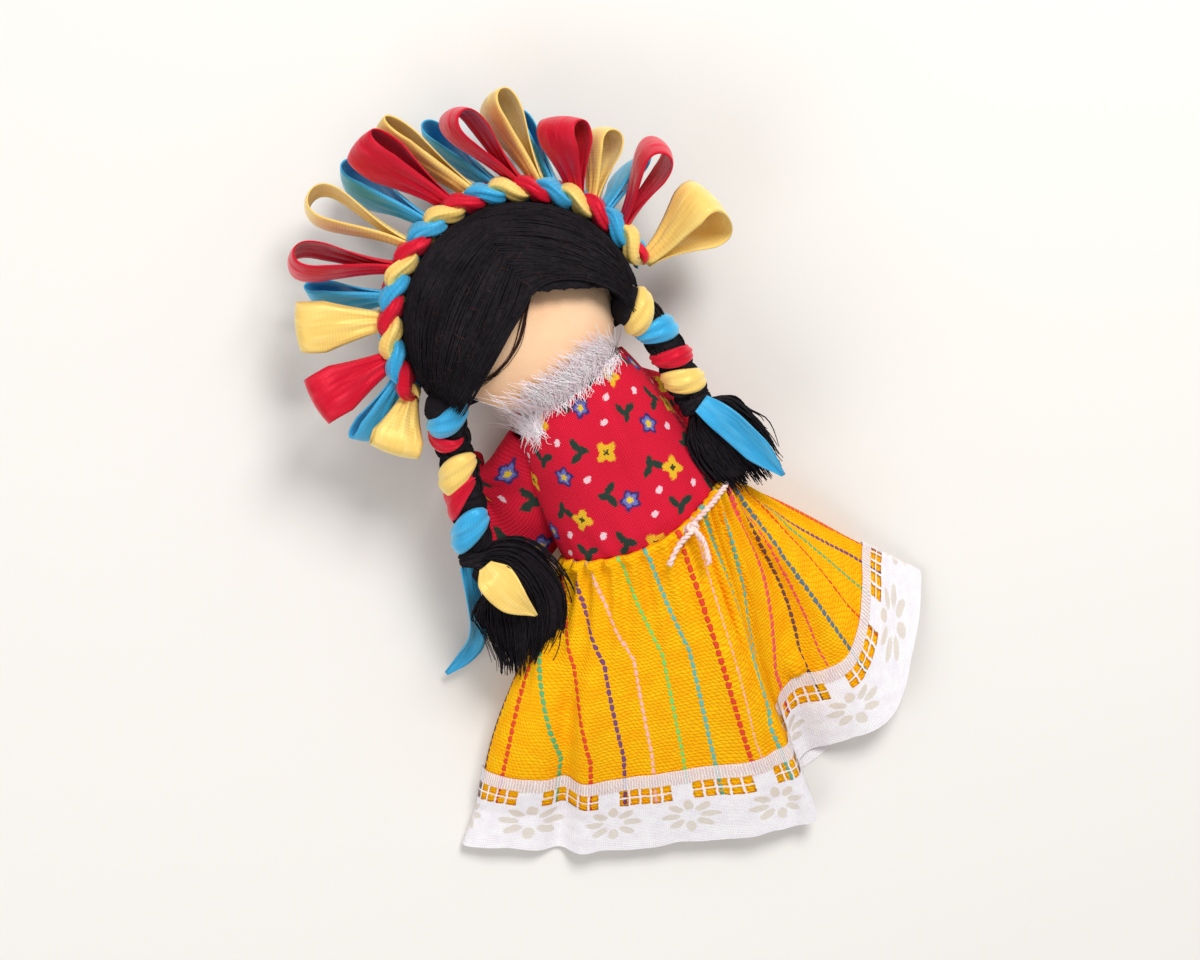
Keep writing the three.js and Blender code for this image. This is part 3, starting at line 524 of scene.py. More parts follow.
def keep(piece, body, slot, *nodes):
    """The piece moves with a body and stands for its solids; slot is not used."""
    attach(piece, body)
    if nodes:
        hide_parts(*nodes)
    return piece


print("corners closer than this are merged, m:", MERGE)

# %% [markdown]
# A smooth line through a few chosen points gives the run of every limb, braid and ribbon. At each
# place along it there is a direction along, one across and one up, and the cross-section is laid
# out on those two.


# %% Smooth lines
def spline(points, t, closed=False):
    """A point on the smooth line through points; t runs from 0 to 1."""
    count = len(points)
    place = (count if closed else count - 1) * t
    low = int(floor(place))
    part = place - low
    if not closed and low >= count - 1:
        low, part = count - 2, 1.0
    if closed:
        near = [points[(low + k) % count] for k in (-1, 0, 1, 2)]
    else:
        before = points[low - 1] if low > 0 else points[0] * 2 - points[1]
        after = points[low + 2] if low + 2 < count else points[-1] * 2 - points[-2]
        near = [before, points[low], points[low + 1], after]
    gaps = [max(sqrt((near[k + 1] - near[k]).length), 1e-3) for k in range(3)]
    start = (near[1] - near[0]) / gaps[0] - (near[2] - near[0]) / (gaps[0] + gaps[1])
    start = (start + (near[2] - near[1]) / gaps[1]) * gaps[1]
    end = (near[2] - near[1]) / gaps[1] - (near[3] - near[1]) / (gaps[1] + gaps[2])
    end = (end + (near[3] - near[2]) / gaps[2]) * gaps[1]
    bend = near[1] * -3 + near[2] * 3 - start * 2 - end
    turn = near[1] * 2 - near[2] * 2 + start + end
    return near[1] + start * part + bend * part**2 + turn * part**3


def heading(points, t):
    """The directions along, across and up of a smooth line that never runs straight up."""
    step = 0.001
    along = spline(points, min(t + step, 1)) - spline(points, max(t - step, 0))
    along.normalize()
    across = Vector((0, 0, 1)).cross(along).normalized()
    return along, across, along.cross(across)


def oval(across, up, angle, wide=1.0, high=1.0):
    """A place on an oval section, from its middle."""
    return across * wide * cos(angle) + up * high * sin(angle)


def steps(values, t):
    """A value read from a list at t, straight between its entries."""
    place = min(max(t, 0), 1) * (len(values) - 1)
    low = min(int(place), len(values) - 2)
    return values[low] + (values[low + 1] - values[low]) * (place - low)


def smooth(values, t):
    """A value read from a list at t, with no corners at its entries."""
    return spline([Vector((value, 0, 0)) for value in values], min(max(t, 0), 1)).x


def ease(t):
    t = min(max(t, 0), 1)
    return t * t * (3 - 2 * t)


def shares(pieces):
    """The places from 0 to 1 that cut a line into pieces."""
    return [k / pieces for k in range(pieces + 1)]


def length_of(points, pieces=24):
    places = [spline(points, t) for t in shares(pieces)]
    return sum((b - a).length for a, b in zip(places, places[1:]))


def wobble(point, size, seed=0.0):
    """A soft random value from -1 to 1 that changes over size millimetres."""
    return noise.noise(Vector(point) / size + Vector((seed, seed, seed)))


print("0, 1 and 4, read a quarter along:", steps((0, 1, 4), 0.25), round(smooth((0, 1, 4), 0.25), 3))

# %% [markdown]
# The body is oval in section and leans a little: it rises from the waist to the neck. Its width
# and depth are given at a few places along it, and the line of the waist dips in front.

# %% Shape of the body
BODY_STATIONS = ((-12, 28, 18), (0, 39, 26), (22, 35, 26), (30, 32.3, 24.7), (38, 27, 22))
BODY_RISE = 8 / 38
WAIST_DIP = 5.5
BODY_HEIGHT = 14.9


def waist_dip(angle):
    """How far the waist line dips at an angle round the body."""
    return WAIST_DIP * max(0, sin(angle)) ** 2


def body_section(place):
    """Half width, half depth and height of the dressed body at a distance up from the waist."""
    low = 0
    while low < len(BODY_STATIONS) - 2 and place > BODY_STATIONS[low + 1][0]:
        low += 1
    (a, wide_a, deep_a), (b, wide_b, deep_b) = BODY_STATIONS[low:low + 2]
    t = (place - a) / (b - a)
    wide, deep = wide_a + (wide_b - wide_a) * t, deep_a + (deep_b - deep_a) * t
    return wide / 2, deep / 2, BODY_HEIGHT + BODY_RISE * place


print("waist, half width, half depth and height, mm:", body_section(0))

# %% [markdown]
# The stuffed parts are cotton filled with wadding: round in section, tapering, with closed
# rounded ends. The face of the doll is bare cloth, so the head is one smooth ball. Arms and legs
# are hidden by the clothes, apart from the rim of one hand.

# %% Head, body and limbs
TORSO_LOW, TORSO_LONG = -12, 50
CLOTHES_ROOM = 2
ROUNDED_END = 0.12


def on_ball(u, v):
    """A point of a ball of radius 1 whose poles lie along Z."""
    tilt, turn = pi * v, 2 * pi * u
    return Vector((sin(tilt) * cos(turn), sin(tilt) * sin(turn), -cos(tilt)))


def rounded(v, ends):
    """How much of its full size a closed tube has at v, with round ends."""
    return sqrt(max(0, 1 - (1 - min(v, 1 - v, ends) / ends) ** 2))


def stuffed(points, half_widths, half_heights, ends=ROUNDED_END):
    """The rule for a stuffed limb with rounded ends."""

    def place(u, v):
        _, across, up = heading(points, v)
        cap = rounded(v, ends)
        angle = 2 * pi * u
        wide, high = steps(half_widths, v) * cap, steps(half_heights, v) * cap
        return spline(points, v) + oval(across, up, angle, wide, high)

    return place


def make_head():
    def place(u, v):
        ball = on_ball(u, v)
        return HEAD @ Vector((ball.x * HEAD_RADII.x, ball.z * HEAD_RADII.y, -ball.y * HEAD_RADII.z))

    head = wrap("head_cloth", place, (72, 48), (125, 58), PEACH)
    keep(head, "head", "skin_cloth", "head")


def make_torso():
    def place(u, v):
        y = TORSO_LOW + TORSO_LONG * v
        wide, deep, height = body_section(y)
        cap = rounded(v, ROUNDED_END)
        angle = 2 * pi * u
        wide, deep = (wide - CLOTHES_ROOM) * cap, (deep - CLOTHES_ROOM) * cap
        return Vector((wide * cos(angle), y, height + deep * sin(angle)))

    torso = wrap("torso_cloth", place, (48, 24), (110, 50), PEACH)
    keep(torso, "torso", "skin_cloth", "torso")


LEG_SWING = Vector((7, -32, -5.5))
LEG_SIZES = (5.5, 5.2, 4, 3.1)


def leg_run(side):
    """The way from a hip to the end of its leg."""
    outward = -1 if side == "right" else 1
    return Vector((LEG_SWING.x * outward, LEG_SWING.y, LEG_SWING.z))


def make_leg(side):
    points = [HIPS[side] + leg_run(side) * t for t in (-0.1, 0.3, 0.65, 1)]
    rule = stuffed(points, LEG_SIZES, LEG_SIZES)
    leg = wrap(f"leg_{side}_cloth", rule, (24, 24), (32, 35), PEACH)
    keep(leg, f"leg_{side}", "skin_cloth", f"leg_{side}")


make_head()
make_torso()
for side in HIPS:
    make_leg(side)
print("leg, mm:", round(leg_run("right").length, 1))

# %% [markdown]
# The ribbon crown is the doll's pride: three satin ribbons plaited into a band over the hair, and
# nineteen loops of ribbon tucked into it. A ribbon is a strip of cloth that keeps its width but
# curls, so each loop is a flat strip bent round a teardrop. Where it is tucked in, it is
# gathered, and its folds run out into the loop. For each loop the table gives its colour, its
# place round the crown, its lean, lift and twist in degrees, its length and how far it opens.

# %% Crown loops
RIBBON_THICKNESS = 0.3
LOOP_WIDTH, LOOP_GATHER, LOOP_LEG_GAP = 11, 4, 0.55
CROWN_LOOPS = (
    ("yellow", 185, 40, 5, 80, 13, 3),
    ("blue", 176, 35, -25, 35, 17, 1.5),
    ("red", 167, 15, 15, 85, 20, 3),
    ("yellow", 151, 5, 0, 80, 20, 3),
    ("blue", 141, 10, -30, 30, 20, 2),
    ("red", 128, 20, 10, 15, 24, 3.5),
    ("yellow", 117, 10, 0, 10, 25, 4.5),
    ("blue", 105, 15, -20, 20, 24, 3),
    ("red", 93, 25, 15, 40, 25, 2.5),
    ("yellow", 82, 35, 0, 30, 26, 2),
    ("blue", 72, 40, -30, 15, 24, 2.5),
    ("red", 62, 45, 20, 15, 23, 3.5),
    ("yellow", 54, 35, 0, 25, 23, 3),
    ("blue", 48, 40, -35, 20, 21, 1.5),
    ("red", 38, 35, 20, 45, 18, 3.5),
    ("yellow", 31, 20, 0, 25, 17, 3),
    ("blue", 25, 5, -35, 20, 17, 1.5),
    ("red", 15, 20, 20, 20, 21, 3.5),
    ("yellow", -2, 12, 0, 58, 20.5, 7.5),
)


def loop_frame(around, lean, lift):
    """Where a loop starts on the crown, and which way it leaves."""
    place = Matrix.Rotation(radians(around), 4, "Z") @ Matrix.Translation((CROWN_RADIUS + 1, 0, 0))
    sideways = Matrix.Rotation(radians(lean), 4, "Z")
    return CROWN @ place @ sideways @ Matrix.Rotation(-radians(lift), 4, "Y")


def make_loop(number, colour, around, lean, lift, twist, length, spread):
    hold = loop_frame(around, lean, lift) @ Matrix.Rotation(radians(twist), 4, "X")

    def line(t):
        t = min(max(t, 0), 1)
        swell = max(sin(pi * t), 0)
        side = LOOP_LEG_GAP * cos(pi * t) + spread * sin(2 * pi * t) * swell**0.6
        return Vector((length * swell**0.8, side, 0))

    def place(u, v):
        step = 0.005
        along = (line(v + step) - line(v - step)).normalized()
        out = Vector((-along.y, along.x, 0))
        open_up = min(1, 1.6 * sin(pi * v))
        width = LOOP_GATHER + (LOOP_WIDTH - LOOP_GATHER) * open_up
        across = u - 0.5
        folds = (1 - open_up) * 0.45 * cos(6 * pi * across)
        cup = -0.7 * open_up * (4 * across * across - 0.33)
        sway = 0.5 * wobble((number * 7.3, v * 3, 0), 1)
        return hold @ (line(v) + out * (folds + cup) + Vector((0, 0, width * across + sway * open_up)))

    name = f"crown_loop_{number:02d}"
    size = (LOOP_WIDTH, 2.2 * length)
    loop = wrap(f"{name}_ribbon", place, (14, 64), size, SATIN[colour], RIBBON_THICKNESS)
    keep(loop, "head", f"{colour}_satin", name)


for index, loop_values in enumerate(CROWN_LOOPS, 1):
    make_loop(index, *loop_values)
print("crown loops:", len(CROWN_LOOPS))

# %% [markdown]
# The band itself is a three-strand plait. Each strand swings from side to side across the band
# and dips under the next one twice in each round, which is two sine waves, one twice as fast
# as the other. The strands are folded ribbon, so they are oval and pinched where they pass under.

# %% Plaited band
BAND_START, BAND_END = -4, 188
BAND_ROUNDS = 6.3
BAND_SWING, BAND_DIP = 2.0, 1.25
BAND_SPREAD, BAND_PROUD = 1.15, 0.2
STRAND_WIDTH, STRAND_HEIGHT = 2.6, 1.75


def plait_offset(phase, strand):
    """Sideways and upward place of a strand in a three-strand plait."""
    angle = 2 * pi * phase + 2 * pi * strand / 3
    return BAND_SWING * cos(angle), BAND_DIP * sin(2 * angle)


def make_band_strand(colour, strand):
    def line(v):
        around = radians(BAND_START + (BAND_END - BAND_START) * v)
        aside, up = plait_offset(BAND_ROUNDS * v, strand)
        radius = CROWN_RADIUS + BAND_PROUD + up
        return Vector((radius * cos(around), radius * sin(around), aside * BAND_SPREAD))

    def place(u, v):
        step = 0.002
        along = (line(v + step) - line(v - step)).normalized()
        around = radians(BAND_START + (BAND_END - BAND_START) * v)
        out = Vector((cos(around), sin(around), 0))
        across = along.cross(out).normalized()
        up = across.cross(along)
        end = min(1, 30 * v, 30 * (1 - v))
        angle = 2 * pi * u
        rib = 1 + 0.1 * cos(5 * angle + 40 * v) + 0.07 * cos(9 * angle - 55 * v)
        section = oval(across, up, angle, STRAND_WIDTH * rib * end, STRAND_HEIGHT * rib * end)
        return CROWN @ (line(v) + section)

    size = (11, 1.25 * CROWN_RADIUS * pi)
    piece = wrap(f"band_strand_{colour}", place, (24, 260), size, SATIN[colour])
    keep(piece, "head", f"{colour}_satin", f"crown_twist_{colour}")


for index, colour in enumerate(("red", "blue", "yellow")):
    make_band_strand(colour, index)
print("band, degrees round the crown:", BAND_START, "to", BAND_END)

# %% [markdown]
# Hair, braids and tassels are black yarn. Each is many thin lines, so one helper turns a list of
# lines into one piece: every line becomes a square thread with closed ends. A thread of four
# sides is enough, because the eye sees the bundle and not the single thread.


# %% Bundles of threads
TAPER = 0.6


def threads(name, lines, thickness, material, taper=True):
    """One mesh of many threads. A line is a list of points in the doll's millimetres."""
    curve = bpy.data.curves.new(name, "CURVE")
    curve.dimensions, curve.bevel_depth, curve.bevel_resolution = "3D", thickness / 2 * MM, 0
    curve.use_fill_caps = True
    for line in lines:
        run = curve.splines.new("POLY")
        run.points.add(len(line) - 1)
        for index, point in enumerate(line):
            run.points[index].co = (*at(point), 1)
            share = index / (len(line) - 1)
            run.points[index].radius = 1 - TAPER * share**3 if taper else 1
    holder = bpy.data.objects.new(name, curve)
    mesh = bpy.data.meshes.new_from_object(holder)
    bpy.data.objects.remove(holder)
    bpy.data.curves.remove(curve)
    mesh.name = name
    mesh.materials.clear()
    mesh.materials.append(material)
    mesh.polygons.foreach_set("use_smooth", [True] * len(mesh.polygons))
    return link(bpy.data.objects.new(name, mesh))


def join(name, pieces):
    """Several new pieces as one."""
    bm = bmesh.new()
    for piece in pieces:
        bm.from_mesh(piece.data)
    mesh = bpy.data.meshes.new(name)
    bm.to_mesh(mesh)
    bm.free()
    mesh.materials.append(pieces[0].data.materials[0])
    for piece in pieces:
        bpy.data.objects.remove(piece)
    return link(bpy.data.objects.new(name, mesh))


print("a thread's tip, of its thickness:", 1 - TAPER)

# %% [markdown]
# The hair is a thick felted cap with a parting. Its mass is a copy of the plain solid, remeshed
# so that its facets melt together and roughened like felt.

# %% Felted hair
FELT_CELL, FELT_ROUGH, FELT_GRAIN = 0.8, 0.35, 2.2


def remeshed(node, name):
    """A copy of a solid with an even fine mesh, its faces roughened like felt."""
    mesh = frame["nodes"][node].data.copy()
    bm = bmesh.new()
    bm.from_mesh(mesh)
    bmesh.ops.remove_doubles(bm, verts=bm.verts, dist=MERGE)
    bm.to_mesh(mesh)
    bm.free()
    copy = link(bpy.data.objects.new(name + "_copy", mesh))
    even = copy.modifiers.new("even", "REMESH")
    even.mode, even.voxel_size = "VOXEL", FELT_CELL * MM
    soft = copy.modifiers.new("soft", "SMOOTH")
    soft.factor, soft.iterations = 0.5, 4
    bpy.context.view_layer.update()
    graph = bpy.context.evaluated_depsgraph_get()
    fine = bpy.data.meshes.new_from_object(copy.evaluated_get(graph))
    bpy.data.objects.remove(copy)
    bm = bmesh.new()
    bm.from_mesh(fine)
    for vert in bm.verts:
        place = (vert.co - waist) / MM
        vert.co += vert.normal * FELT_ROUGH * MM * wobble(place, FELT_GRAIN)
    for face in bm.faces:
        face.smooth = True
    bm.to_mesh(fine)
    bm.free()
    fine.name = name
    fine.materials.clear()
    fine.materials.append(BLACK_YARN)
    return link(bpy.data.objects.new(name, fine))

for side in ROOTS:
    felt = remeshed(f"hair_{side}", f"hair_{side}_felt")
    keep(felt, "head", "black_yarn", f"hair_{side}")
    print(felt.name, "faces:", len(felt.data.polygons))

# %% [markdown]
# Over the felt lie combed strands: each one starts at the parting, bows along the hairline and
# ends where the braid begins.

# %% Combed hair
PARTING = Vector((4, 15.5, 0))
PARTING_LEAN = radians(10)
PART_FRONT, PART_BACK = radians(38), radians(205)
HAIRLINE_BOW = {"right": Vector((-4.6, 9.8, 0)), "left": Vector((12.9, 16.2, 0))}
STRANDS_PER_SIDE, STRAND_THICK = 900, 0.34
ROOT_ROOM = 4.9
STRAND_FLOOR = 0.5


def stretched(vector, radii):
    return Vector([value * radius for value, radius in zip(vector, radii)])


def on_hair(direction):
    """A direction from the middle of the hair, as a point on its surface of radius 1."""
    flat = Vector((direction.x / HAIR_RADII.x, direction.y / HAIR_RADII.y))
    return Vector((flat.x, flat.y, sqrt(max(0, 1 - flat.length_squared))))


def parting_point(angle):
    ring = Vector((0, sin(angle) * HAIR_RADII.y, 0))
    x = PARTING.x - (ring.y - PARTING.y) * sin(PARTING_LEAN)
    share = x / HAIR_RADII.x
    return Vector((share, sin(angle) * sqrt(1 - share**2), cos(angle) * sqrt(1 - share**2)))


def hair_strand(side, share, seed):
    """A combed line from the parting (share 0 at the face, 1 at the nape) to the braid."""
    start = parting_point(PART_FRONT + (PART_BACK - PART_FRONT) * share)
    start.x += random.uniform(-0.012, 0.016) * (-1 if side == "right" else 1)
    root = HAIR.inverted() @ ROOTS[side]
    end = Vector([value / radius for value, radius in zip(root, HAIR_RADII)])
    spread = 0.24 * (share - 0.3)
    end += Vector((0, spread, -spread)) + Vector([random.uniform(-0.07, 0.07) for _ in range(3)])
    hairline = on_hair(HAIRLINE_BOW[side])
    middle = (start + end).normalized()
    bow = hairline.lerp(middle, ease(share * 3.5))
    lift = 1 + random.uniform(0.0, 0.024)
    line = []
    for t in shares(12):
        place = start * (1 - t) ** 2 + bow * 2 * t * (1 - t) + end * t**2
        place.normalize()
        stir = 1 + 0.016 * wobble((seed * 3.1, t * 4, share * 9), 1)
        point = HAIR @ (stretched(place, HAIR_RADII) * lift * stir)
        point.z = max(point.z, STRAND_FLOOR)
        line.append(point)
    return [point for point in line if (point - ROOTS[side]).length > ROOT_ROOM]


def make_strands(side):
    lines = []
    for number in range(STRANDS_PER_SIDE):
        share = (number + random.random()) / STRANDS_PER_SIDE
        lines.append(hair_strand(side, share, number))
    strands = threads(f"hair_{side}_strands", lines, STRAND_THICK, BLACK_YARN)
    return keep(strands, "head", "black_yarn")


for side in ROOTS:
    print(make_strands(side).name, "threads:", STRANDS_PER_SIDE)

# %% [markdown]
# Short stray fibres stand off the hair, and a thin lock of them falls over the forehead. To lie
# on the head, a point is dropped along Z until it meets the front of the head.

# %% Stray hair
WISPS, LOCK_THREADS, WISP_THICK = 150, 18, 0.15
LOCK_OVER = 60
LOCK = ((1.2, 59.6), (-0.7, 57.5), (-4.5, 53.3), (-7.5, 50.9), (-13.1, 48.3), (-19, 47.4))
HAIRLINE_BOWS = (0.026, 0.045)


def hair_wisp():
    """A short stray fibre that stands off the hair."""
    tilt, turn = random.uniform(0.1, 1.25), random.uniform(0, 2 * pi)
    way = Vector((sin(tilt) * cos(turn), abs(sin(tilt) * sin(turn)), cos(tilt)))
    drift = Vector([random.uniform(-0.12, 0.12) for _ in range(3)])
    line = []
    for t in shares(5):
        place = (way + drift * t).normalized() * (1.005 + 0.03 * sin(pi * t))
        line.append(HAIR @ stretched(place, HAIR_RADII))
    return line


def head_drop(point, lift):
    """How far under a point the front of the head lies, or None beside the head."""
    into_head = HEAD.inverted()
    start, way = into_head @ point, into_head.to_3x3() @ Vector((0, 0, -1))
    scaled = Vector([start[k] / (HEAD_RADII[k] + lift) for k in range(3)])
    step = Vector([way[k] / (HEAD_RADII[k] + lift) for k in range(3)])
    a, b, c = step.dot(step), 2 * scaled.dot(step), scaled.dot(scaled) - 1
    if b * b <= 4 * a * c:
        return None
    return (-b - sqrt(b * b - 4 * a * c)) / (2 * a)


def on_head(point, lift):
    drop = head_drop(point, lift)
    return point if drop is None else Vector((point.x, point.y, point.z - drop))


def over_hair(line):
    """The part of a line that lies over the hair and not over the bare face."""
    kept = []
    for point in line:
        inside = HEAD.inverted() @ point
        bow = HAIRLINE_BOWS[0 if inside.x < PARTING.x else 1]
        if inside.y > PARTING.y + 1 - bow * (inside.x - PARTING.x) ** 2:
            kept.append(point)
    return kept


def make_wisps():
    lines = [over_hair(hair_wisp()) for _ in range(WISPS)]
    lines = [line for line in lines if len(line) > 2]
    for number in range(LOCK_THREADS):
        line = []
        for step in range(11):
            place = spline([Vector((x, y, LOCK_OVER)) for x, y in LOCK], step / 10)
            stray = Vector([wobble((number * 3.7, step * 0.15, axis * 5), 1) for axis in range(3)])
            line.append(on_head(place + stray * 1.2, 0.4 + 0.5 * random.random()))
        lines.append(line)
    keep(threads("hair_wisps", lines, WISP_THICK, BROWN_YARN), "head", "black_yarn")


make_wisps()
print("stray fibres:", WISPS, "and in the lock:", LOCK_THREADS)

# %% [markdown]
# A braid is a three-strand plait of yarn with satin ribbon wound into it. The plait runs on the
# same two sine waves as the band of the crown. Stem and tassel are given as offsets from the
# braid's root. Each wrap of ribbon has its start and end along the stem, its slant, how narrow it
# gets, the angle that its wide side faces, and how far it stands up.

# %% Braids
BRAIDS = {
    "right": {
        "stem": [
            (0, 0, 0), (-2, -7.5, -3.4), (-4.2, -15.5, -5.2), (-6.6, -24, -6.6), (-9.6, -31.5, -8.6),
        ],
        "tassel": [(-9.4, -33.5, -9.2), (-6.4, -39.5, -8.8), (-6.4, -49, -11.6), (-12.5, -60.5, -16)],
        "half_widths": (2.6, 8.2, 10.6, 6.2),
        "half_heights": (2.6, 4.8, 4.6, 3),
        "wraps": (
            ("blue", -0.06, 0.13, 0.05, 0.35, 80, 0.7),
            ("red", 0.1, 0.27, -0.04, 0.05, 168, 0.0),
            ("yellow", 0.33, 0.58, 0.07, 0.0, 120, 0.6),
            ("red", 0.46, 0.76, 0.1, 0.0, 150, 0.0),
            ("blue_low", 0.72, 0.98, 0.08, 0.1, 122, 0.3),
        ),
    },
    "left": {
        "stem": [(0, 0, 0), (2.2, -6.5, -2.4), (3, -13, -4), (2.8, -19, -5), (2.8, -24.3, -5.8)],
        "tassel": [(3, -26.3, -6.1), (3.8, -31, -6.6), (5.2, -38.5, -8.2), (6.8, -47.5, -10.4)],
        "half_widths": (2.6, 6.4, 8, 7.4),
        "half_heights": (2.6, 4.4, 4.4, 3.4),
        "wraps": (
            ("yellow", -0.06, 0.15, 0.06, 0.3, 80, 0.7),
            ("blue", 0.16, 0.38, -0.05, 0.35, 70, 0.0),
            ("red", 0.44, 0.63, -0.04, 0.3, 95, 0.0),
            ("yellow_low", 0.66, 0.94, -0.06, 0.3, 85, 0.0),
        ),
    },
}
PLAIT_TURNS = 0.085
PLAIT_FIBRES, PLAIT_STEPS = 34, 44
PLAIT_WIDE, PLAIT_DEEP = 1.85, 1.3
FIBRE_WIDE, FIBRE_DEEP = 2.2, 2.4
ROOT_BALL = 4.5


def from_root(side, points):
    return [ROOTS[side] + Vector(point) for point in points]


def on_stem(points, t):
    """The centre and directions of a stem, carried straight on past its two ends."""
    inside = min(max(t, 0.002), 0.998)
    along, across, up = heading(points, inside)
    return spline(points, inside) + along * (t - inside) * length_of(points, 8), across, up


def plaited(points, turns, strand, around, reach=1.0):
    """A line on the skin of one plaited strand; around is its angle on the strand."""
    line = []
    for t in shares(PLAIT_STEPS):
        centre, across, up = on_stem(points, t)
        swing = 2 * pi * (turns * t + strand / 3)
        centre = centre + across * PLAIT_WIDE * cos(swing) + up * PLAIT_DEEP * sin(2 * swing)
        angle = around + 3 * t
        line.append(centre + oval(across, up, angle, FIBRE_WIDE * reach, FIBRE_DEEP * reach))
    return line


def make_root(side):
    """The felted knob that turns in the hair where the braid starts."""

    def place(u, v):
        ball = on_ball(u, v)
        return ROOTS[side] + ball * (ROOT_BALL + 0.3 * wobble(ball * 3, 1))

    return wrap(f"braid_{side}_root", place, (32, 20), (28, 14), BLACK_YARN)


def make_stem(side):
    points = from_root(side, BRAIDS[side]["stem"])
    turns = length_of(points) * PLAIT_TURNS
    rule = stuffed(points, (3.3, 3.3), (3.3, 3.3))
    core = wrap(f"braid_{side}_core", rule, (16, 30), (24, 35), BLACK_YARN)
    lines = []
    for strand in range(3):
        for fibre in range(PLAIT_FIBRES):
            reach = random.uniform(0.78, 1.08)
            lines.append(plaited(points, turns, strand, 2 * pi * fibre / PLAIT_FIBRES, reach))
    yarn = threads(f"braid_{side}_fibres", lines, 0.46, BLACK_YARN, taper=False)
    plait = join(f"braid_{side}_plait", [core, yarn, make_root(side)])
    keep(plait, f"braid_{side}", "black_yarn", f"braid_{side}")


for side in BRAIDS:
    make_stem(side)
    print("plait", side, "mm:", round(length_of(from_root(side, BRAIDS[side]["stem"])), 1))

# %% [markdown]
# Each ribbon shows as a short slanting wrap that is widest at the front and pinched where it goes
# back in between the strands.

# %% Braid ribbons
BRAID_HALF = 3.7
WRAP_TUCK = 1.7
WRAP_ROUND = 28


def wrap_rule(points, low, high, slant, narrow, front, rise):
    """A ribbon round the stem from low to high, widest at the front angle (degrees)."""

    def place(u, v):
        angle = 2 * pi * u
        facing = 0.5 + 0.5 * cos(angle - radians(front))
        share = narrow + (1 - narrow) * facing**1.4
        middle, half = (low + high) / 2, (high - low) / 2 * share
        t = middle + half * (2 * v - 1) + slant * sin(angle - radians(front))
        centre, across, up = on_stem(points, t)
        edge = 1 - (2 * v - 1) ** 2
        folds = 0.2 * (1 + sin(13 * v + 2.4 * sin(angle + low * 30))) * edge
        tucked = BRAID_HALF - WRAP_TUCK * (1 - ease(facing * 1.5)) * (1 - narrow)
        reach = tucked + 0.45 + (0.65 + rise) * edge**0.5 * facing + folds
        return centre + oval(across, up, angle) * reach

    return place


def make_wraps(side):
    points = from_root(side, BRAIDS[side]["stem"])
    made = {}
    for name, low, high, *how in BRAIDS[side]["wraps"]:
        rule = wrap_rule(points, low, high, *how)
        wide = (high - low) * length_of(points)
        winding = wrap("winding", rule, (64, 16), (1, 1), SATIN[name.split("_")[0]])
        warp_map(winding, lambda u, v, wide=wide: (v * wide, u * WRAP_ROUND))
        made.setdefault(name, []).append(winding)
    for name, windings in made.items():
        piece = join(f"braid_{side}_{name}_wrap", windings)
        thicken(piece, RIBBON_THICKNESS)
        keep(piece, f"braid_{side}", f"{name.split('_')[0]}_satin", f"braid_{side}_ribbon_{name}")


for side in BRAIDS:
    make_wraps(side)
    print("ribbon wraps", side, len(BRAIDS[side]["wraps"]))

# %% [markdown]
# A few turns of yarn tie each braid off. The line of the yarn winds round the end of the braid,
# over a small core.

# %% Ties
TIE_LENGTH, TIE_TURNS, TIE_RADIUS = 3.4, 6, 3.1


def tie_line(points):
    """The place and direction just below the end of a braid."""
    end = points[-1]
    along = (spline(points, 1) - spline(points, 0.999)).normalized()
    return end, along


def make_tie(side):
    end, along = tie_line(from_root(side, BRAIDS[side]["stem"]))
    across = Vector((0, 0, 1)).cross(along).normalized()
    up = along.cross(across)
    line = []
    for step in range(TIE_TURNS * 16 + 1):
        angle = 2 * pi * step / 16
        down = 0.5 + (TIE_LENGTH - 0.7) * step / (TIE_TURNS * 16)
        reach = TIE_RADIUS + 0.25 * sin(3.7 * angle)
        line.append(end + along * down + oval(across, up, angle) * reach)
    tie = threads(f"tie_{side}_turns", [line], 1.5, BLACK_YARN, taper=False)
    run = [end + along * TIE_LENGTH * t for t in (0, 0.33, 0.66, 1)]
    core = wrap(f"tie_{side}_core", stuffed(run, (3, 3), (3, 3)), (16, 8), (20, 4), BLACK_YARN)
    keep(join(f"tie_{side}_yarn", [tie, core]), f"braid_{side}", "black_yarn", f"tie_{side}")


for side in BRAIDS:
    make_tie(side)
print("tie, mm:", TIE_LENGTH, "long,", 2 * TIE_RADIUS, "thick")

# %% [markdown]
# Below its tie the yarn opens into a tassel. Its strands start together in the tie and fan out
# over the width of the tassel, each with its own small waves and its own length, so that the end
# looks cut by hand.

# %% Tassels
CORE_SHARE = 0.92
TASSEL_CLUMPS, CLUMP_STRANDS, TASSEL_CURLS = 40, 24, 30
TASSEL_THICK, TASSEL_FLOOR = 0.4, 0.4


def tassel_strand(braid, run, aim, reach, swirl, wave, seed):
    """One strand, from the tie to its own place in the width and height of the tassel."""
    line = []
    for t in (reach * share for share in shares(14)):
        centre, across, up = on_stem(run, t)
        turned = Matrix.Rotation(swirl * t, 2) @ Vector(aim.xy)
        stir = Vector([wobble((seed * 1.7, t * 4, k), 1) for k in (0, 9)]) * wave * t
        wide, high = smooth(braid["half_widths"], t), smooth(braid["half_heights"], t)
        place = centre + across * (wide * turned.x + stir.x) + up * (high * turned.y + stir.y)
        place.z = max(place.z, TASSEL_FLOOR)
        line.append(place)
    return line


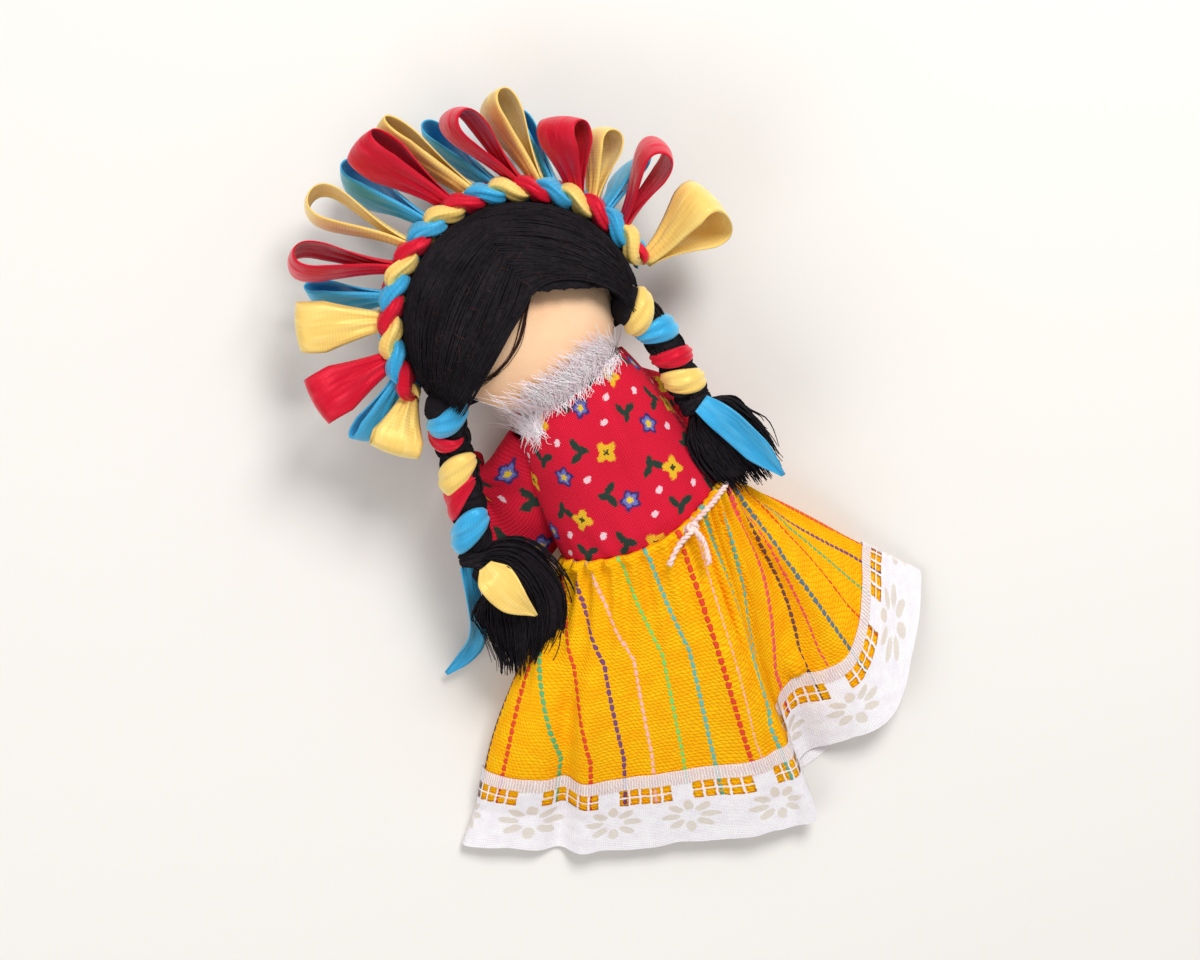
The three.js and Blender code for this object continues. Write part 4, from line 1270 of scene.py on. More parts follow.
def make_tassel(side):
    braid = BRAIDS[side]
    end, along = tie_line(from_root(side, braid["stem"]))
    run = [end + along * (TIE_LENGTH + 0.3), *from_root(side, braid["tassel"])[1:]]
    lines = []
    for clump in range(TASSEL_CLUMPS):
        angle, out = 2 * pi * random.random(), sqrt(random.uniform(0.1, 1.0))
        long, swirl = random.uniform(0.84, 1.1), random.uniform(-0.4, 0.4)
        for strand in range(CLUMP_STRANDS):
            stray = Vector((random.gauss(0, 0.11), random.gauss(0, 0.11), 0))
            aim = Vector((out * cos(angle), out * sin(angle), 0)) + stray
            reach = long * random.uniform(0.84, 1.04)
            lines.append(tassel_strand(braid, run, aim, reach, swirl, 0.7, clump * 50 + strand))
    for number in range(TASSEL_CURLS):
        angle = random.uniform(0, pi)
        aim = Vector((1.1 * cos(angle), 1.0 * sin(angle), 0))
        lines.append(tassel_strand(braid, run, aim, random.uniform(0.4, 1.0), 0, 2.6, 7000 + number))
    brush = threads(f"tassel_{side}_strands", lines, TASSEL_THICK, BLACK_YARN)
    wide = [value * CORE_SHARE for value in braid["half_widths"]]
    high = [value * CORE_SHARE for value in braid["half_heights"]]
    inner = stuffed([spline(run, 0.94 * k / 4) for k in range(5)], wide, high, 0.16)
    core = wrap(f"tassel_{side}_core", inner, (36, 30), (45, 30), BLACK_YARN)
    keep(join(f"tassel_{side}_yarn", [brush, core]), f"braid_{side}", "black_yarn", f"tassel_{side}")


for side in BRAIDS:
    make_tassel(side)
print("strands in a tassel:", TASSEL_CLUMPS * CLUMP_STRANDS + TASSEL_CURLS)

# %% [markdown]
# The ends of the braid ribbons hang loose over the tassels: flat strips that twist a little as
# they fall, cut to a point. For each one the table gives its side, its run from the braid's root,
# its widths and how far it is rolled, in degrees.

# %% Ribbon ends
TAILS = {
    "ribbon_end_right_blue": (
        "right",
        [
            (-12.9, -34.2, -8.6), (-15.6, -42, -13), (-18, -48.8, -19.2), (-21, -53, -23.2),
            (-25, -55.2, -25.6), (-30.4, -56.6, -27),
        ],
        (3.6, 4.2, 4.8, 4.8, 3.6, 0.9),
        (-20, -38, -34, -26, -16, -10),
    ),
    "ribbon_end_right_yellow": (
        "right",
        [(-9.2, -35.5, -3.8), (-8.6, -39.2, -2.2), (-7.4, -45, -2.2), (-4.6, -50.8, -3.8)],
        (3.4, 8.6, 7.2, 0.9),
        (5, -16, 14, 30),
    ),
    "ribbon_end_left_blue": (
        "left",
        [(3.6, -26.4, -1.2), (6.8, -33.2, -0.4), (9.6, -41.5, -2.4), (12.4, -50.2, -6)],
        (4.4, 6.8, 6.2, 1.0),
        (-10, 24, 18, 10),
    ),
}


def make_tail(name, side, offsets, widths, rolls):
    points = from_root(side, offsets)
    colour = name.split("_")[-1]

    def place(u, v):
        along, across, up = heading(points, min(v, 0.998))
        turn = Matrix.Rotation(radians(smooth(rolls, v)), 3, along)
        half = smooth(widths, v) / 2
        share = 2 * u - 1
        cup = 0.16 * half * (share * share - 0.35) + 0.25 * wobble((share, v * 5, 0), 1)
        return spline(points, v) + turn @ (across * half * share + up * cup)

    size = (8, length_of(points))
    piece = wrap(f"{name}_strip", place, (12, 40), size, SATIN[colour], RIBBON_THICKNESS)
    return keep(piece, f"braid_{side}", f"{colour}_satin", name)


for name, values in TAILS.items():
    tail = make_tail(name, *values)

# %% [markdown]
# The blouse is red calico printed with small flowers. The print is one square tile of the cloth,
# repeated: flowers are circles whose edge waves with the angle, leaves and dots are stretched
# circles. Each motif has a place and a turn in the tile. It is a mask, and the masks choose the
# colours.

# %% Calico print
TILE = 22
PRINT_YELLOW = ((4.2, 5.0, 0.3), (15.6, 16.4, 1.0))
PRINT_BLUE = ((14.8, 4.4, 0.4), (4.6, 15.6, 0.9))
PRINT_SPRIGS = ((8.6, 8.0, 0.5), (18.4, 8.6, 2.2), (8.8, 18.8, 3.6), (19.6, 20.0, 5.0))
SPRIG_LEAVES = ((0.0, 0.0, 0.2), (1.5, 0.9, 0.9), (0.9, -1.7, 2.2))
PRINT_DOTS = ((10.4, 1.8, 0.6), (1.6, 10.4, 0.2), (12.8, 11.4, 0.9), (20.6, 14.2, 0.5))
LEAF_SIZE, DOT_SIZE = (1.65, 0.78, 1), (0.85, 0.66, 1)
PRINT_RAGGED = 1.05


def motif_place(tile, x, y, turn, size):
    """Coordinates centred on a motif, turned with it, with its size as 1."""
    moved = vectors("SUBTRACT", tile, (x, y, 0))
    turned = node(tile.tree, "VectorRotate", {"Vector": moved, "Angle": turn}, rotation_type="Z_AXIS")
    return vectors("DIVIDE", turned, size)


def oval_mask(tile, x, y, turn, size):
    return band(length(motif_place(tile, x, y, turn, size)), 1.15, 0.8)


def flower_mask(tile, x, y, turn, radius, petals, depth):
    """A flower's mask, and how far out in it each point lies."""
    place = motif_place(tile, x, y, turn, (1, 1, 1))
    aside, along = place.parts()
    edge = (along.do("ARCTAN2", aside) * petals).do("COSINE") * depth + radius
    share = length(place) / edge
    return band(share, 1.12, 0.85), share


def leaf_places():
    """Where the leaves of all the sprigs lie, and which way each one points."""
    for x, y, turn in PRINT_SPRIGS:
        for aside, along, lean in SPRIG_LEAVES:
            leaf_x = x + aside * cos(turn) - along * sin(turn)
            leaf_y = y + aside * sin(turn) + along * cos(turn)
            yield leaf_x, leaf_y, -lean - turn


def make_calico():
    material, tree, shader = new_material("red_calico", 0.88, Specular_IOR_Level=0.15)
    place = cloth_place(tree)
    tile = vectors("MODULO", astray(place, 2.2, 2, PRINT_RAGGED), (TILE, TILE, 1))
    height = use_group(tree, WEAVE_GROUP, Vector=place, Pitch=0.44, Waver=0.12)["Height"]
    # Painted shade of the weave: the raised threads are lighter and the gaps between them darker.
    colour = blend(band(height, 0.1, 0.7), srgb(201, 18, 44), srgb(230, 32, 62))
    leaves = [oval_mask(tile, *leaf, LEAF_SIZE) for leaf in leaf_places()]
    dots = [oval_mask(tile, *dot, DOT_SIZE) for dot in PRINT_DOTS]
    colour = blend(most(leaves), colour, srgb(45, 62, 52))
    colour = blend(most(dots), colour, srgb(244, 206, 214))
    for flower in PRINT_BLUE:
        mask, share = flower_mask(tile, *flower, 2.05, 5, 0.36)
        rim = blend(band(share, 0.6, 0.8), srgb(112, 116, 190), srgb(62, 44, 98))
        colour = blend(mask, colour, blend(band(share, 0.4, 0.28), rim, srgb(232, 196, 60)))
    for flower in PRINT_YELLOW:
        mask, share = flower_mask(tile, *flower, 2.0, 4, 0.5)
        heart = blend(band(share, 0.34, 0.24), srgb(240, 186, 44), srgb(70, 70, 40))
        colour = blend(mask, colour, heart)
    finish(shader, colour, height, 0.0002, 0.6)
    return material


CALICO = make_calico()
print("motifs in a tile:", len(PRINT_YELLOW + PRINT_BLUE + PRINT_SPRIGS + PRINT_DOTS))

# %% [markdown]
# The blouse wraps the stuffed body closely. Its neckline follows the chin: for each direction
# round the body, the cloth is taken up until it would touch the head, allowing for its nod.

# %% Blouse
NOD_RANGE = radians(22)
BLOUSE_LOW, BLOUSE_HIGH = -8.5, 38
BLOUSE_ROUND = 104
CLOTH_THICKNESS = 0.7
SHOULDER_ROOM = 6.6
blouse_tops = {}


def clear_of_head(point, room):
    for share in (0, 0.5, 1):
        turned = NECK + Matrix.Rotation(NOD_RANGE * share, 3, "X") @ (point - NECK)
        inside = HEAD.inverted() @ turned
        if sum((inside[k] / (HEAD_RADII[k] + room)) ** 2 for k in range(3)) < 1:
            return False
    return True


def body_point(angle, y, grow=0.0):
    wide, deep, height = body_section(y)
    return Vector(((wide + grow) * cos(angle), y, height + (deep + grow) * sin(angle)))


def blouse_top(angle):
    """How far up the cloth reaches at an angle round the body."""
    if angle not in blouse_tops:
        y = BLOUSE_HIGH
        while y > 20 and not clear_of_head(body_point(angle, y), 0.5):
            y -= 0.25
        blouse_tops[angle] = y
    return blouse_tops[angle]


def crease(point):
    """Soft puckers: one long fold down the front, more where the skirt draws the cloth in."""
    angle = atan2(point.z - BODY_HEIGHT, point.x)
    down = max(0, 1 - (point.y + waist_dip(angle)) / 14)
    gathers = 0.32 * down * sin(17 * angle + 2 * wobble((angle * 3, 0, 0), 1))
    fold = 0.7 * 2.7 ** (-(((point.x - 3 - 0.04 * point.y) / 1.3) ** 2)) * ease(point.y / 20)
    ripple = 0.9 * wobble((point.x * 1.2, point.y * 0.6, point.z), 9, 3.0)
    return gathers + (fold if point.z > BODY_HEIGHT else 0) + ripple


def make_blouse():
    def place(u, v):
        angle = 2 * pi * u
        top = blouse_top(round(angle, 6))
        point = body_point(angle, BLOUSE_LOW + (top - BLOUSE_LOW) * v)
        out = Vector((cos(angle), 0, sin(angle)))
        rise = crease(point) - 0.35
        low = ease((point.y + waist_dip(angle)) / 4)
        return point + out * (min(rise, 0.1) if out.z < -0.3 else rise * low - 0.5 * (1 - low))

    blouse = wrap("blouse_cloth", place, (144, 60), (BLOUSE_ROUND, 41), CALICO)
    bm = bmesh.new()
    bm.from_mesh(blouse.data)
    holes = [at(SHOULDERS[side]) for side in SHOULDERS]
    inside = [v for v in bm.verts if min((v.co - hole).length for hole in holes) < SHOULDER_ROOM * MM]
    bmesh.ops.delete(bm, geom=inside, context="VERTS")
    bm.to_mesh(blouse.data)
    bm.free()
    thicken(blouse, CLOTH_THICKNESS)
    keep(blouse, "torso", "red_calico", "blouse")


make_blouse()

# %% [markdown]
# Each sleeve is a loose tube of the same calico, set on at the shoulder and turned in at the
# wrist, with the rim of a stuffed hand just showing.

# %% Sleeves and arms
ARM_REACH = {
    "right": [(0, 0, 0), (-7, -8, -4.6), (-13.5, -11, -7.2), (-22, -8, -8.6)],
    "left": [(0, 0, 0), (3.5, -7, -4.4), (5.2, -14, -6.4), (5.6, -21, -7.6)],
}
SLEEVE_WIDTHS = {"right": (6.4, 11.6, 14.6, 9.4), "left": (6, 6.2, 5.4, 5)}
SLEEVE_HEIGHTS = (6, 5.6, 5.2, 5)
SHOULDER_BALL = 6.3
HAND_SHOW = 1.8


def arm_points(side):
    return [SHOULDERS[side] + Vector(reach) for reach in ARM_REACH[side]]


def make_sleeve(side):
    points = arm_points(side)

    def place(u, v):
        angle = 2 * pi * u
        along, across, up = heading(points, min(v, 0.998))
        wide, high = smooth(SLEEVE_WIDTHS[side], v), smooth(SLEEVE_HEIGHTS, v)
        pucker = 0.55 * sin(5 * angle + 4 * v) * ease(4 * (1 - v)) * ease(6 * v)
        sag = 1.3 * wobble((cos(angle) * 2, sin(angle) * 2, v * 4), 1.2, 5.0) * ease(5 * v)
        shrink = 0.88 + 0.12 * ease(8 * v)
        reach = pucker + sag - 0.3
        line = spline(points, v) - along * (SHOULDER_BALL * 0.5 * (1 - ease(6 * v)))
        sideways = across * (wide + reach) * shrink * cos(angle)
        return line + sideways + up * (high + reach) * shrink * sin(angle)

    sleeve = wrap(f"sleeve_{side}_cloth", place, (56, 44), (2 * pi * 7, 27), CALICO)
    thicken(sleeve, 0.6)
    keep(sleeve, f"arm_{side}", "red_calico", f"sleeve_{side}")


def make_arm(side):
    points = arm_points(side)
    points[3] += (points[3] - points[2]).normalized() * HAND_SHOW
    wide = [min(width - 1.6, 4.34) for width in SLEEVE_WIDTHS[side]]
    rule = stuffed(points, wide, (3.5, 3.5, 3.5, 3.2), 0.1)
    arm = wrap(f"arm_{side}_cloth", rule, (28, 30), (24, 26), PEACH)
    keep(arm, f"arm_{side}", "skin_cloth", f"arm_{side}")


for side in ARM_REACH:
    make_arm(side)
    make_sleeve(side)

# %% [markdown]
# At the neck a strip of thin white cloth is sewn in and frayed to a fringe, which lies on the
# chin. It is a bed of cloth with over a thousand fine threads combed out of it, towards the face
# and over the blouse.

# %% Frayed collar
COLLAR_LEFT, COLLAR_RIGHT = -14.5, 13
COLLAR_THREADS, FRINGE_THICK = 1200, 0.15
NECKLINE_LOW = 31.5
OVER_FACE = 60


LILAC = make_mottled(
    "frayed_cotton", 0.8, 0.5, 420, 0.35, srgb(255, 250, 252), srgb(255, 240, 246), 0.0003, 0.4
)


def body_front(x, y):
    wide, deep, height = body_section(y)
    return height + deep * sqrt(max(0, 1 - (x / wide) ** 2))


def on_face(x, y, lift):
    """The point over (x, y) of the doll that lies on the front of the head or of the blouse."""
    drop = head_drop(Vector((x, y, OVER_FACE)), lift)
    best = NECK.z if drop is None else OVER_FACE - drop
    wide, deep, height = body_section(y)
    share = 1 - (x / (wide + lift)) ** 2
    if share > 0 and y < BLOUSE_HIGH:
        best = max(best, height + (deep + lift) * sqrt(share))
    return Vector((x, y, best))


def neckline(x):
    """How far up the front the blouse reaches at x."""
    y = BLOUSE_HIGH
    while y > NECKLINE_LOW and (on_face(x, y, 0.5).z - body_front(x, y)) > 0.6:
        y -= 0.25
    return y


def make_collar():
    def place(u, v):
        x = COLLAR_LEFT + 2 + (COLLAR_RIGHT - COLLAR_LEFT - 4) * u
        low, tall = neckline(x), 3.6 + 0.8 * wobble((x, 0, 0), 4)
        y = low - 0.8 + tall * v
        return on_face(x, y, 0.7 + 0.25 * wobble((x, y, 0), 2))

    strip = wrap("collar_strip", place, (60, 10), (COLLAR_RIGHT - COLLAR_LEFT, 4), LILAC)
    thicken(strip, 0.25, 0)
    keep(strip, "torso", "white_lace", "collar")


make_collar()
print("neckline in the middle, mm:", neckline(0))

# %% [markdown]
# Each thread of the fringe starts in the strip and lies on the chin or on the blouse. Two of
# three run up, the others down, and all lean a little to one side.

# %% Collar fringe
def fringe_thread(number):
    x = random.uniform(COLLAR_LEFT, COLLAR_RIGHT)
    low = neckline(x) + random.uniform(-1.0, 3.0)
    upward = 1 if random.random() < 0.66 else -1
    reach = random.uniform(2.5, 7.0) if upward > 0 else random.uniform(1.5, 3.6)
    lean = -0.45 + random.gauss(0, 0.4)
    lift = random.uniform(0.5, 1.5)
    line = []
    for t in shares(6):
        curl = 1.4 * wobble((number * 2.3, t * 2, 0), 1)
        side = x + (lean * reach + curl) * t
        line.append(on_face(side, low + upward * reach * t, lift + 0.35 * t * t))
    return line


fringe_lines = [fringe_thread(number) for number in range(COLLAR_THREADS)]
keep(threads("collar_fringe", fringe_lines, FRINGE_THICK, LILAC), "torso", "white_lace")
print("threads in the fringe:", len(fringe_lines))

# %% [markdown]
# The skirt is the largest cloth. It is gathered into the waist and spread flat on the floor, and
# its shape comes from eleven places on the hem: how far round, how far down and how high each
# one lies. Between waist and hem the cloth runs straight and swells a little over the legs.

# %% Skirt shape
SKIRT_LENGTH, SKIRT_SPREAD = 71, 114
SKIRT_KEYS = (
    (0, 0.4, 0.515, 3.5),
    (20, 0.25, 0.83, 9),
    (42, 0.04, 0.865, 5.5),
    (62, 0.02, 1.03, 9),
    (100, -0.2, 0.915, 8),
    (140, -0.405, 0.77, 7),
    (180, -0.58, 0.59, 4),
    (216, -0.42, 0.74, -2),
    (252, -0.2, 0.85, -2),
    (288, 0.02, 0.88, -2),
    (324, 0.24, 0.78, -2),
)
SKIRT_BULGE = 2.5
WAIST_EASE, HEADER = 1.4, 2.3
HEM = [Vector((x * SKIRT_SPREAD, -y * SKIRT_LENGTH, z)) for _, x, y, z in SKIRT_KEYS]


def skirt_angle(around):
    """Which way from the middle of the waist a place round the skirt lies."""
    place = around % 1 * len(SKIRT_KEYS)
    low = int(place) % len(SKIRT_KEYS)
    after = SKIRT_KEYS[low + 1][0] if low + 1 < len(SKIRT_KEYS) else 360
    return radians(SKIRT_KEYS[low][0] + (after - SKIRT_KEYS[low][0]) * (place - int(place)))


def skirt_point(around, down):
    around %= 1
    angle = skirt_angle(around)
    top = body_point(angle, -waist_dip(angle), WAIST_EASE)
    bulge = SKIRT_BULGE * max(0, sin(angle)) * 4 * down * max(0, 1 - down)
    return top.lerp(spline(HEM, around, closed=True), down) + Vector((0, 0, bulge))


print("hem, half way round, mm:", [round(value, 1) for value in skirt_point(0.5, 1)])

# %% [markdown]
# Folds are laid on the skirt along the direction out of its cloth: tight gathers at the waist, a
# few deep folds, and a swell at one side. The cloth is kept out of the legs and above the floor.
# Each deep fold has its place at the waist and at the hem, its width, its depth and its start.

# %% Folds of the skirt
SKIRT_FOLDS = (
    (0.085, 0.156, 0.014, -2.6, 0.05),
    (0.062, 0.112, 0.016, 1.9, 0.1),
    (0.14, 0.185, 0.014, 1.4, 0.1),
    (0.25, 0.294, 0.011, -1.5, 0.1),
    (0.29, 0.322, 0.012, 0.9, 0.2),
    (0.478, 0.468, 0.009, -3.0, 0.3),
    (0.455, 0.447, 0.014, 1.2, 0.3),
)
SIDE_SWELL, SIDE_SWELL_WIDTH = 3.8, 0.07
LEG_ROOM = 1.0
SKIRT_FLOOR = 0.35


def skirt_out(around, down):
    """The direction out of the skirt's cloth."""
    step = 0.004
    sideways = skirt_point(around + step, down) - skirt_point(around - step, down)
    lengthways = skirt_point(around, down + step) - skirt_point(around, down - step)
    return sideways.cross(lengthways).normalized()


def skirt_fold(around, down):
    """Small folds: tight gathers at the waist that open out and fade towards the hem."""
    drift = 0.6 * wobble((around * 30, down * 2, 0), 1)
    gathers = (0.75 * (1 - ease(down * 1.7)) + 0.1) * sin(2 * pi * (34 * around + 0.3 * drift))
    gathers += 0.7 * (1 - ease(down * 9))
    slow = 1.2 * wobble((around * 20, down * 1.3, 0), 1, 7.0) * ease(down * 3)
    deep = 0
    for at_waist, at_hem, width, depth, start in SKIRT_FOLDS:
        away = (around - at_waist - (at_hem - at_waist) * min(down, 1)) / width
        deep += depth * 2.7 ** (-away * away) * ease((down - start) * 3.5)
    side = (around - 0.5) / SIDE_SWELL_WIDTH
    swell = SIDE_SWELL * 2.7 ** (-side * side) * sin(pi * min(down, 1) ** 1.6)
    return gathers + slow + deep + swell


def clear_of_legs(point):
    """The point, moved out where it would lie in a leg."""
    for side in HIPS:
        foot = leg_run(side)
        share = min(max((point - HIPS[side]).dot(foot) / foot.length_squared, 0), 1)
        away = point - HIPS[side] - foot * share
        room = steps(LEG_SIZES, share) + LEG_ROOM
        if away.length < room:
            point = point + away.normalized() * (room - away.length)
    return point


def skirt_surface(around, down, lift, lowest):
    out = skirt_out(around, down)
    fold = skirt_fold(around, down)
    point = skirt_point(around, down) + out * (lift + (fold if out.z > -0.2 else 0.3 * fold))
    point = clear_of_legs(point)
    point.z = max(point.z, lowest)
    return point


def header_point(around, up):
    """The gathered top edge of the skirt, folded over the drawstring; up is 0 to 1."""
    angle = skirt_angle(around)
    out = Vector((cos(angle), 0, sin(angle)))
    over = WAIST_EASE - 0.9 * up + 0.9 * sin(pi * up)
    point = body_point(angle, up * HEADER - waist_dip(angle), over)
    point += out * (0.1 + skirt_fold(around, 0) * (1 - 0.4 * up))
    point.z = max(point.z, SKIRT_FLOOR)
    return point


print("a fold half way down, mm:", round(skirt_fold(0.1, 0.5), 2))


# %% [markdown]
# The cloth was woven in stripes before it was sewn, so the stripes follow the threads and not
# the shape of the skirt. For each stripe the table gives its width, then its place round the
# skirt at the waist, half way down and at the hem.

# %% Stripes of the skirt
STRIPES = (
    ("orange", 0.9, -0.006, 0.0, 0.0),
    ("violet", 0.8, 0.012, 0.034, 0.026),
    ("green", 0.6, 0.022, 0.043, 0.046),
    ("red", 0.5, 0.03, 0.052, 0.065),
    ("blue", 0.95, 0.066, 0.09, 0.09),
    ("coral", 0.5, 0.073, 0.098, 0.116),
    ("navy", 0.85, 0.08, 0.106, 0.134),
    ("coral", 0.95, 0.1, 0.128, 0.164),
    ("teal", 0.6, 0.15, 0.168, 0.21),
    ("teal", 1.0, 0.226, 0.226, 0.28),
    ("pale", 0.4, 0.274, 0.289, 0.302),
    ("bold", 1.15, 0.304, 0.307, 0.311),
    ("teal", 0.95, 0.362, 0.336, 0.338),
    ("lime", 0.85, 0.405, 0.366, 0.362),
    ("pale", 0.8, 0.455, 0.4, 0.39),
    ("violet", 0.95, 0.486, 0.434, 0.416),
    ("red", 1.0, 0.515, 0.47, 0.446),
    ("green", 1.0, 0.54, 0.508, 0.474),
    ("red", 0.9, 0.556, 0.522, 0.518),
    ("navy", 0.9, 0.57, 0.54, 0.545),
)
STRIPE_COLOURS = {
    "orange": srgb(226, 70, 30), "violet": srgb(96, 34, 112), "green": srgb(40, 176, 112),
    "red": srgb(222, 36, 26), "teal": srgb(72, 184, 168), "navy": srgb(72, 36, 66),
    "coral": srgb(236, 62, 92), "pale": srgb(250, 186, 176), "bold": srgb(220, 24, 26),
    "lime": srgb(116, 212, 96), "blue": srgb(30, 104, 130),
}
LAST_ROW = 0.75
STRIPE_EDGE = 1.25


def around_length(down, pieces=120):
    places = [skirt_point(k / pieces, down) for k in range(pieces)]
    return sum((b - a).length for a, b in zip(places, places[1:] + places[:1]))


HEM_LENGTH = around_length(LAST_ROW)
print("stripes:", len(STRIPES), "hem, mm:", round(HEM_LENGTH, 1))

# %% [markdown]
# The cloth's map is bent so that each stripe is straight on it and keeps its width. Each face also
# carries the colour, middle and width of the stripe nearest to it, so the material only has to
# draw one row of stitches.

# %% Map of the stripes
def keep_width(away, gap, flat_gap):
    """A distance past a stripe on the skirt, as one on the flat cloth: the same near a stripe."""
    edge = min(STRIPE_EDGE, 0.4 * gap, 0.4 * flat_gap)
    if away < edge:
        return away
    if away > gap - edge:
        return flat_gap - gap + away
    return edge + (away - edge) * (flat_gap - 2 * edge) / (gap - 2 * edge)


def cloth_across(around, down):
    """Where a point of the skirt lies across the flat cloth, in millimetres."""
    rows = [steps(stripe[2:], down / LAST_ROW) for stripe in STRIPES]
    hems = [stripe[4] * HEM_LENGTH for stripe in STRIPES]
    rows, hems = [*rows, rows[0] + 1], [*hems, hems[0] + HEM_LENGTH]
    if around < rows[0]:
        around += 1
    low = min(max(k for k, row in enumerate(rows) if row <= around), len(rows) - 2)
    step = 0.004
    chord = skirt_point(around + step, down) - skirt_point(around - step, down)
    per_turn = chord.length / (2 * step)
    gap = (rows[low + 1] - rows[low]) * per_turn
    return hems[low] + keep_width((around - rows[low]) * per_turn, gap, hems[low + 1] - hems[low])


def mark_stripes(piece):
    """Writes the colour, middle and width of the nearest stripe on each face."""
    mesh = piece.data
    mesh.attributes.new("stripe_colour", "FLOAT_COLOR", "CORNER")
    mesh.attributes.new("stripe_middle", "FLOAT", "CORNER")
    mesh.attributes.new("stripe_width", "FLOAT", "CORNER")
    places = mesh.uv_layers["UVMap"].data
    colours = mesh.attributes["stripe_colour"].data
    middles, widths = mesh.attributes["stripe_middle"].data, mesh.attributes["stripe_width"].data
    stripes = [(colour, wide, hem * HEM_LENGTH) for colour, wide, _, _, hem in STRIPES]
    stripes.append((*stripes[0][:2], stripes[0][2] + HEM_LENGTH))
    for face in mesh.polygons:
        across = sum(places[k].uv.x for k in face.loop_indices) / face.loop_total
        colour, wide, middle = min(stripes, key=lambda stripe: abs(stripe[2] - across))
        for k in face.loop_indices:
            colours[k].color = STRIPE_COLOURS[colour]
            middles[k].value, widths[k].value = middle, wide


print("across the cloth half way round, mm:", round(cloth_across(0.5, LAST_ROW), 1))

# %% [markdown]
# A stripe is a row of stitches with small gaps between them, drawn over a coarse yellow weave
# whose threads waver and whose gaps are painted darker, a painted shade. Each stitch swells a
# little, is painted lighter where it swells, a painted highlight, and is rounded at its ends.

# %% Cloth of the skirt
DASH_PITCH, DASH_SHARE = 2.1, 0.9


def stripe_mask(across, along):
    """A row of rounded stitches along the nearest stripe: where they are and how they swell."""
    middle = node(across.tree, "Attribute", output="Fac", attribute_name="stripe_middle")
    wide = node(across.tree, "Attribute", output="Fac", attribute_name="stripe_width")
    away = (across - middle) / (wide * 0.5)
    beat = (along * (1 / DASH_PITCH) + middle * 0.37).do("FRACT")
    end = (beat * 2 - 1) / DASH_SHARE
    far = abs(end).do("POWER", 5) + away * away
    return band(far, 1.15, 0.7), band(far, 1.2, 0.0)


def make_skirt_weave():
    material, tree, shader = new_material("skirt_weave", 0.9, Specular_IOR_Level=0.12)
    place = cloth_place(tree)
    height = use_group(tree, WEAVE_GROUP, Vector=place, Pitch=0.92, Waver=1.3, Slant=0.5)["Height"]
    # The yellow varies in large random patches; the gaps of the weave are painted a darker orange, a
    # painted shade.
    light = blend(band(cloudy(place, 0.22, 4), 0.3, 0.7), srgb(255, 198, 12), srgb(255, 180, 4))
    shaded_weave = blend(band(height, -0.1, 0.5), srgb(248, 146, 0), light)
    mask, swell = stripe_mask(*astray(place, 1.1, 1, 0.6).parts())
    paint = node(tree, "Attribute", output="Color", attribute_name="stripe_colour")
    # Painted highlight: each stitch is a little lighter where it swells.
    stitch_highlight = blend(swell * 0.03, paint, (1, 0.9, 0.75, 1))
    finish(shader, blend(mask * 0.92, shaded_weave, stitch_highlight), height * (1 - mask) + swell, 0.0004, 0.5)
    return material


SKIRT_WEAVE = make_skirt_weave()
print("stitch, mm:", round(DASH_PITCH * DASH_SHARE, 2))

# %% [markdown]
# The skirt is one grid of cloth, from the heading over the drawstring down to the hem.

# %% Skirt
HIP_LINE = at(Vector((0, -9, 12)))
BELOW_HIPS = at(Vector((0, -24, 12)))
LACE_LIFT_START = 0.76


def make_skirt():
    header = HEADER / SKIRT_LENGTH

    def down_at(v):
        return v * (1 + header) - header

    def place(u, v):
        down = down_at(v)
        if down < 0:
            return header_point(u, -down / header)
        lowest = 1.0 if down > LACE_LIFT_START else SKIRT_FLOOR
        return skirt_surface(u, down, 0.1, lowest)

    skirt = wrap("skirt_cloth", place, (264, 76), (1, 1), SKIRT_WEAVE)
    warp_map(skirt, lambda u, v: (cloth_across(u, max(down_at(v), 0)), v * SKIRT_LENGTH))
    mark_stripes(skirt)
    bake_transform(skirt)
    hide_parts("skirt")
    thicken(skirt, CLOTH_THICKNESS)


make_skirt()

# %% [markdown]
# The hem lace is a machine-made trim: a strip of fine net with a ladder of small holes, and a row
# of open flowers. The holes are left out of the cloth by its material, with a mask on the lace's
# own map, so the skirt shows through them as it does on the doll.

# %% Lace
LACE_START, LACE_END = 0.83, 1.125
LACE_WIDE = (LACE_END - LACE_START) * SKIRT_LENGTH
LACE_LONG = HEM_LENGTH * 1.15
LACE_REPEATS = 16
LACE_REPEAT = LACE_LONG / LACE_REPEATS
NET_DEPTH, NET_PITCH = 4.2, 0.6
LADDER_ROWS = (4.9, 7.5)
RUNG_PITCH, GROUP_LONG = 2.4, 11.9
FLOWER_ROW, FLOWER_START, FLOWER_SQUASH = 13.6, 11, 1.25
FLOWER_HOLES, FLOWER_REACH = 8, 4.0
HOLE_LONG, HOLE_WIDE = 1.9, 1.05


def between(value, low, high, soft=0.12):
    """1 where a value lies between low and high, with soft edges."""
    return band(value, low - soft, low + soft) * band(value, high + soft, high - soft)


def repeat_place(across, start=0.0):
    """The distance along one repeat of the lace."""
    return (across + (50 * LACE_REPEAT + start)) % LACE_REPEAT


def flower_holes(across, down):
    """A ring of oval holes round each flower's middle."""
    x = repeat_place(across, FLOWER_START) - LACE_REPEAT / 2
    y = (down - FLOWER_ROW) * FLOWER_SQUASH
    reach = length(node(across.tree, "CombineXYZ", {0: x, 1: y}))
    sector = 2 * pi / FLOWER_HOLES
    turns = y.do("ARCTAN2", x) / sector
    turn = (turns - turns.do("ROUND")) * sector
    far = (reach - FLOWER_REACH) / HOLE_LONG
    aside = reach * turn.do("SINE") / HOLE_WIDE
    return band(far * far + aside * aside, 1.3, 0.7)


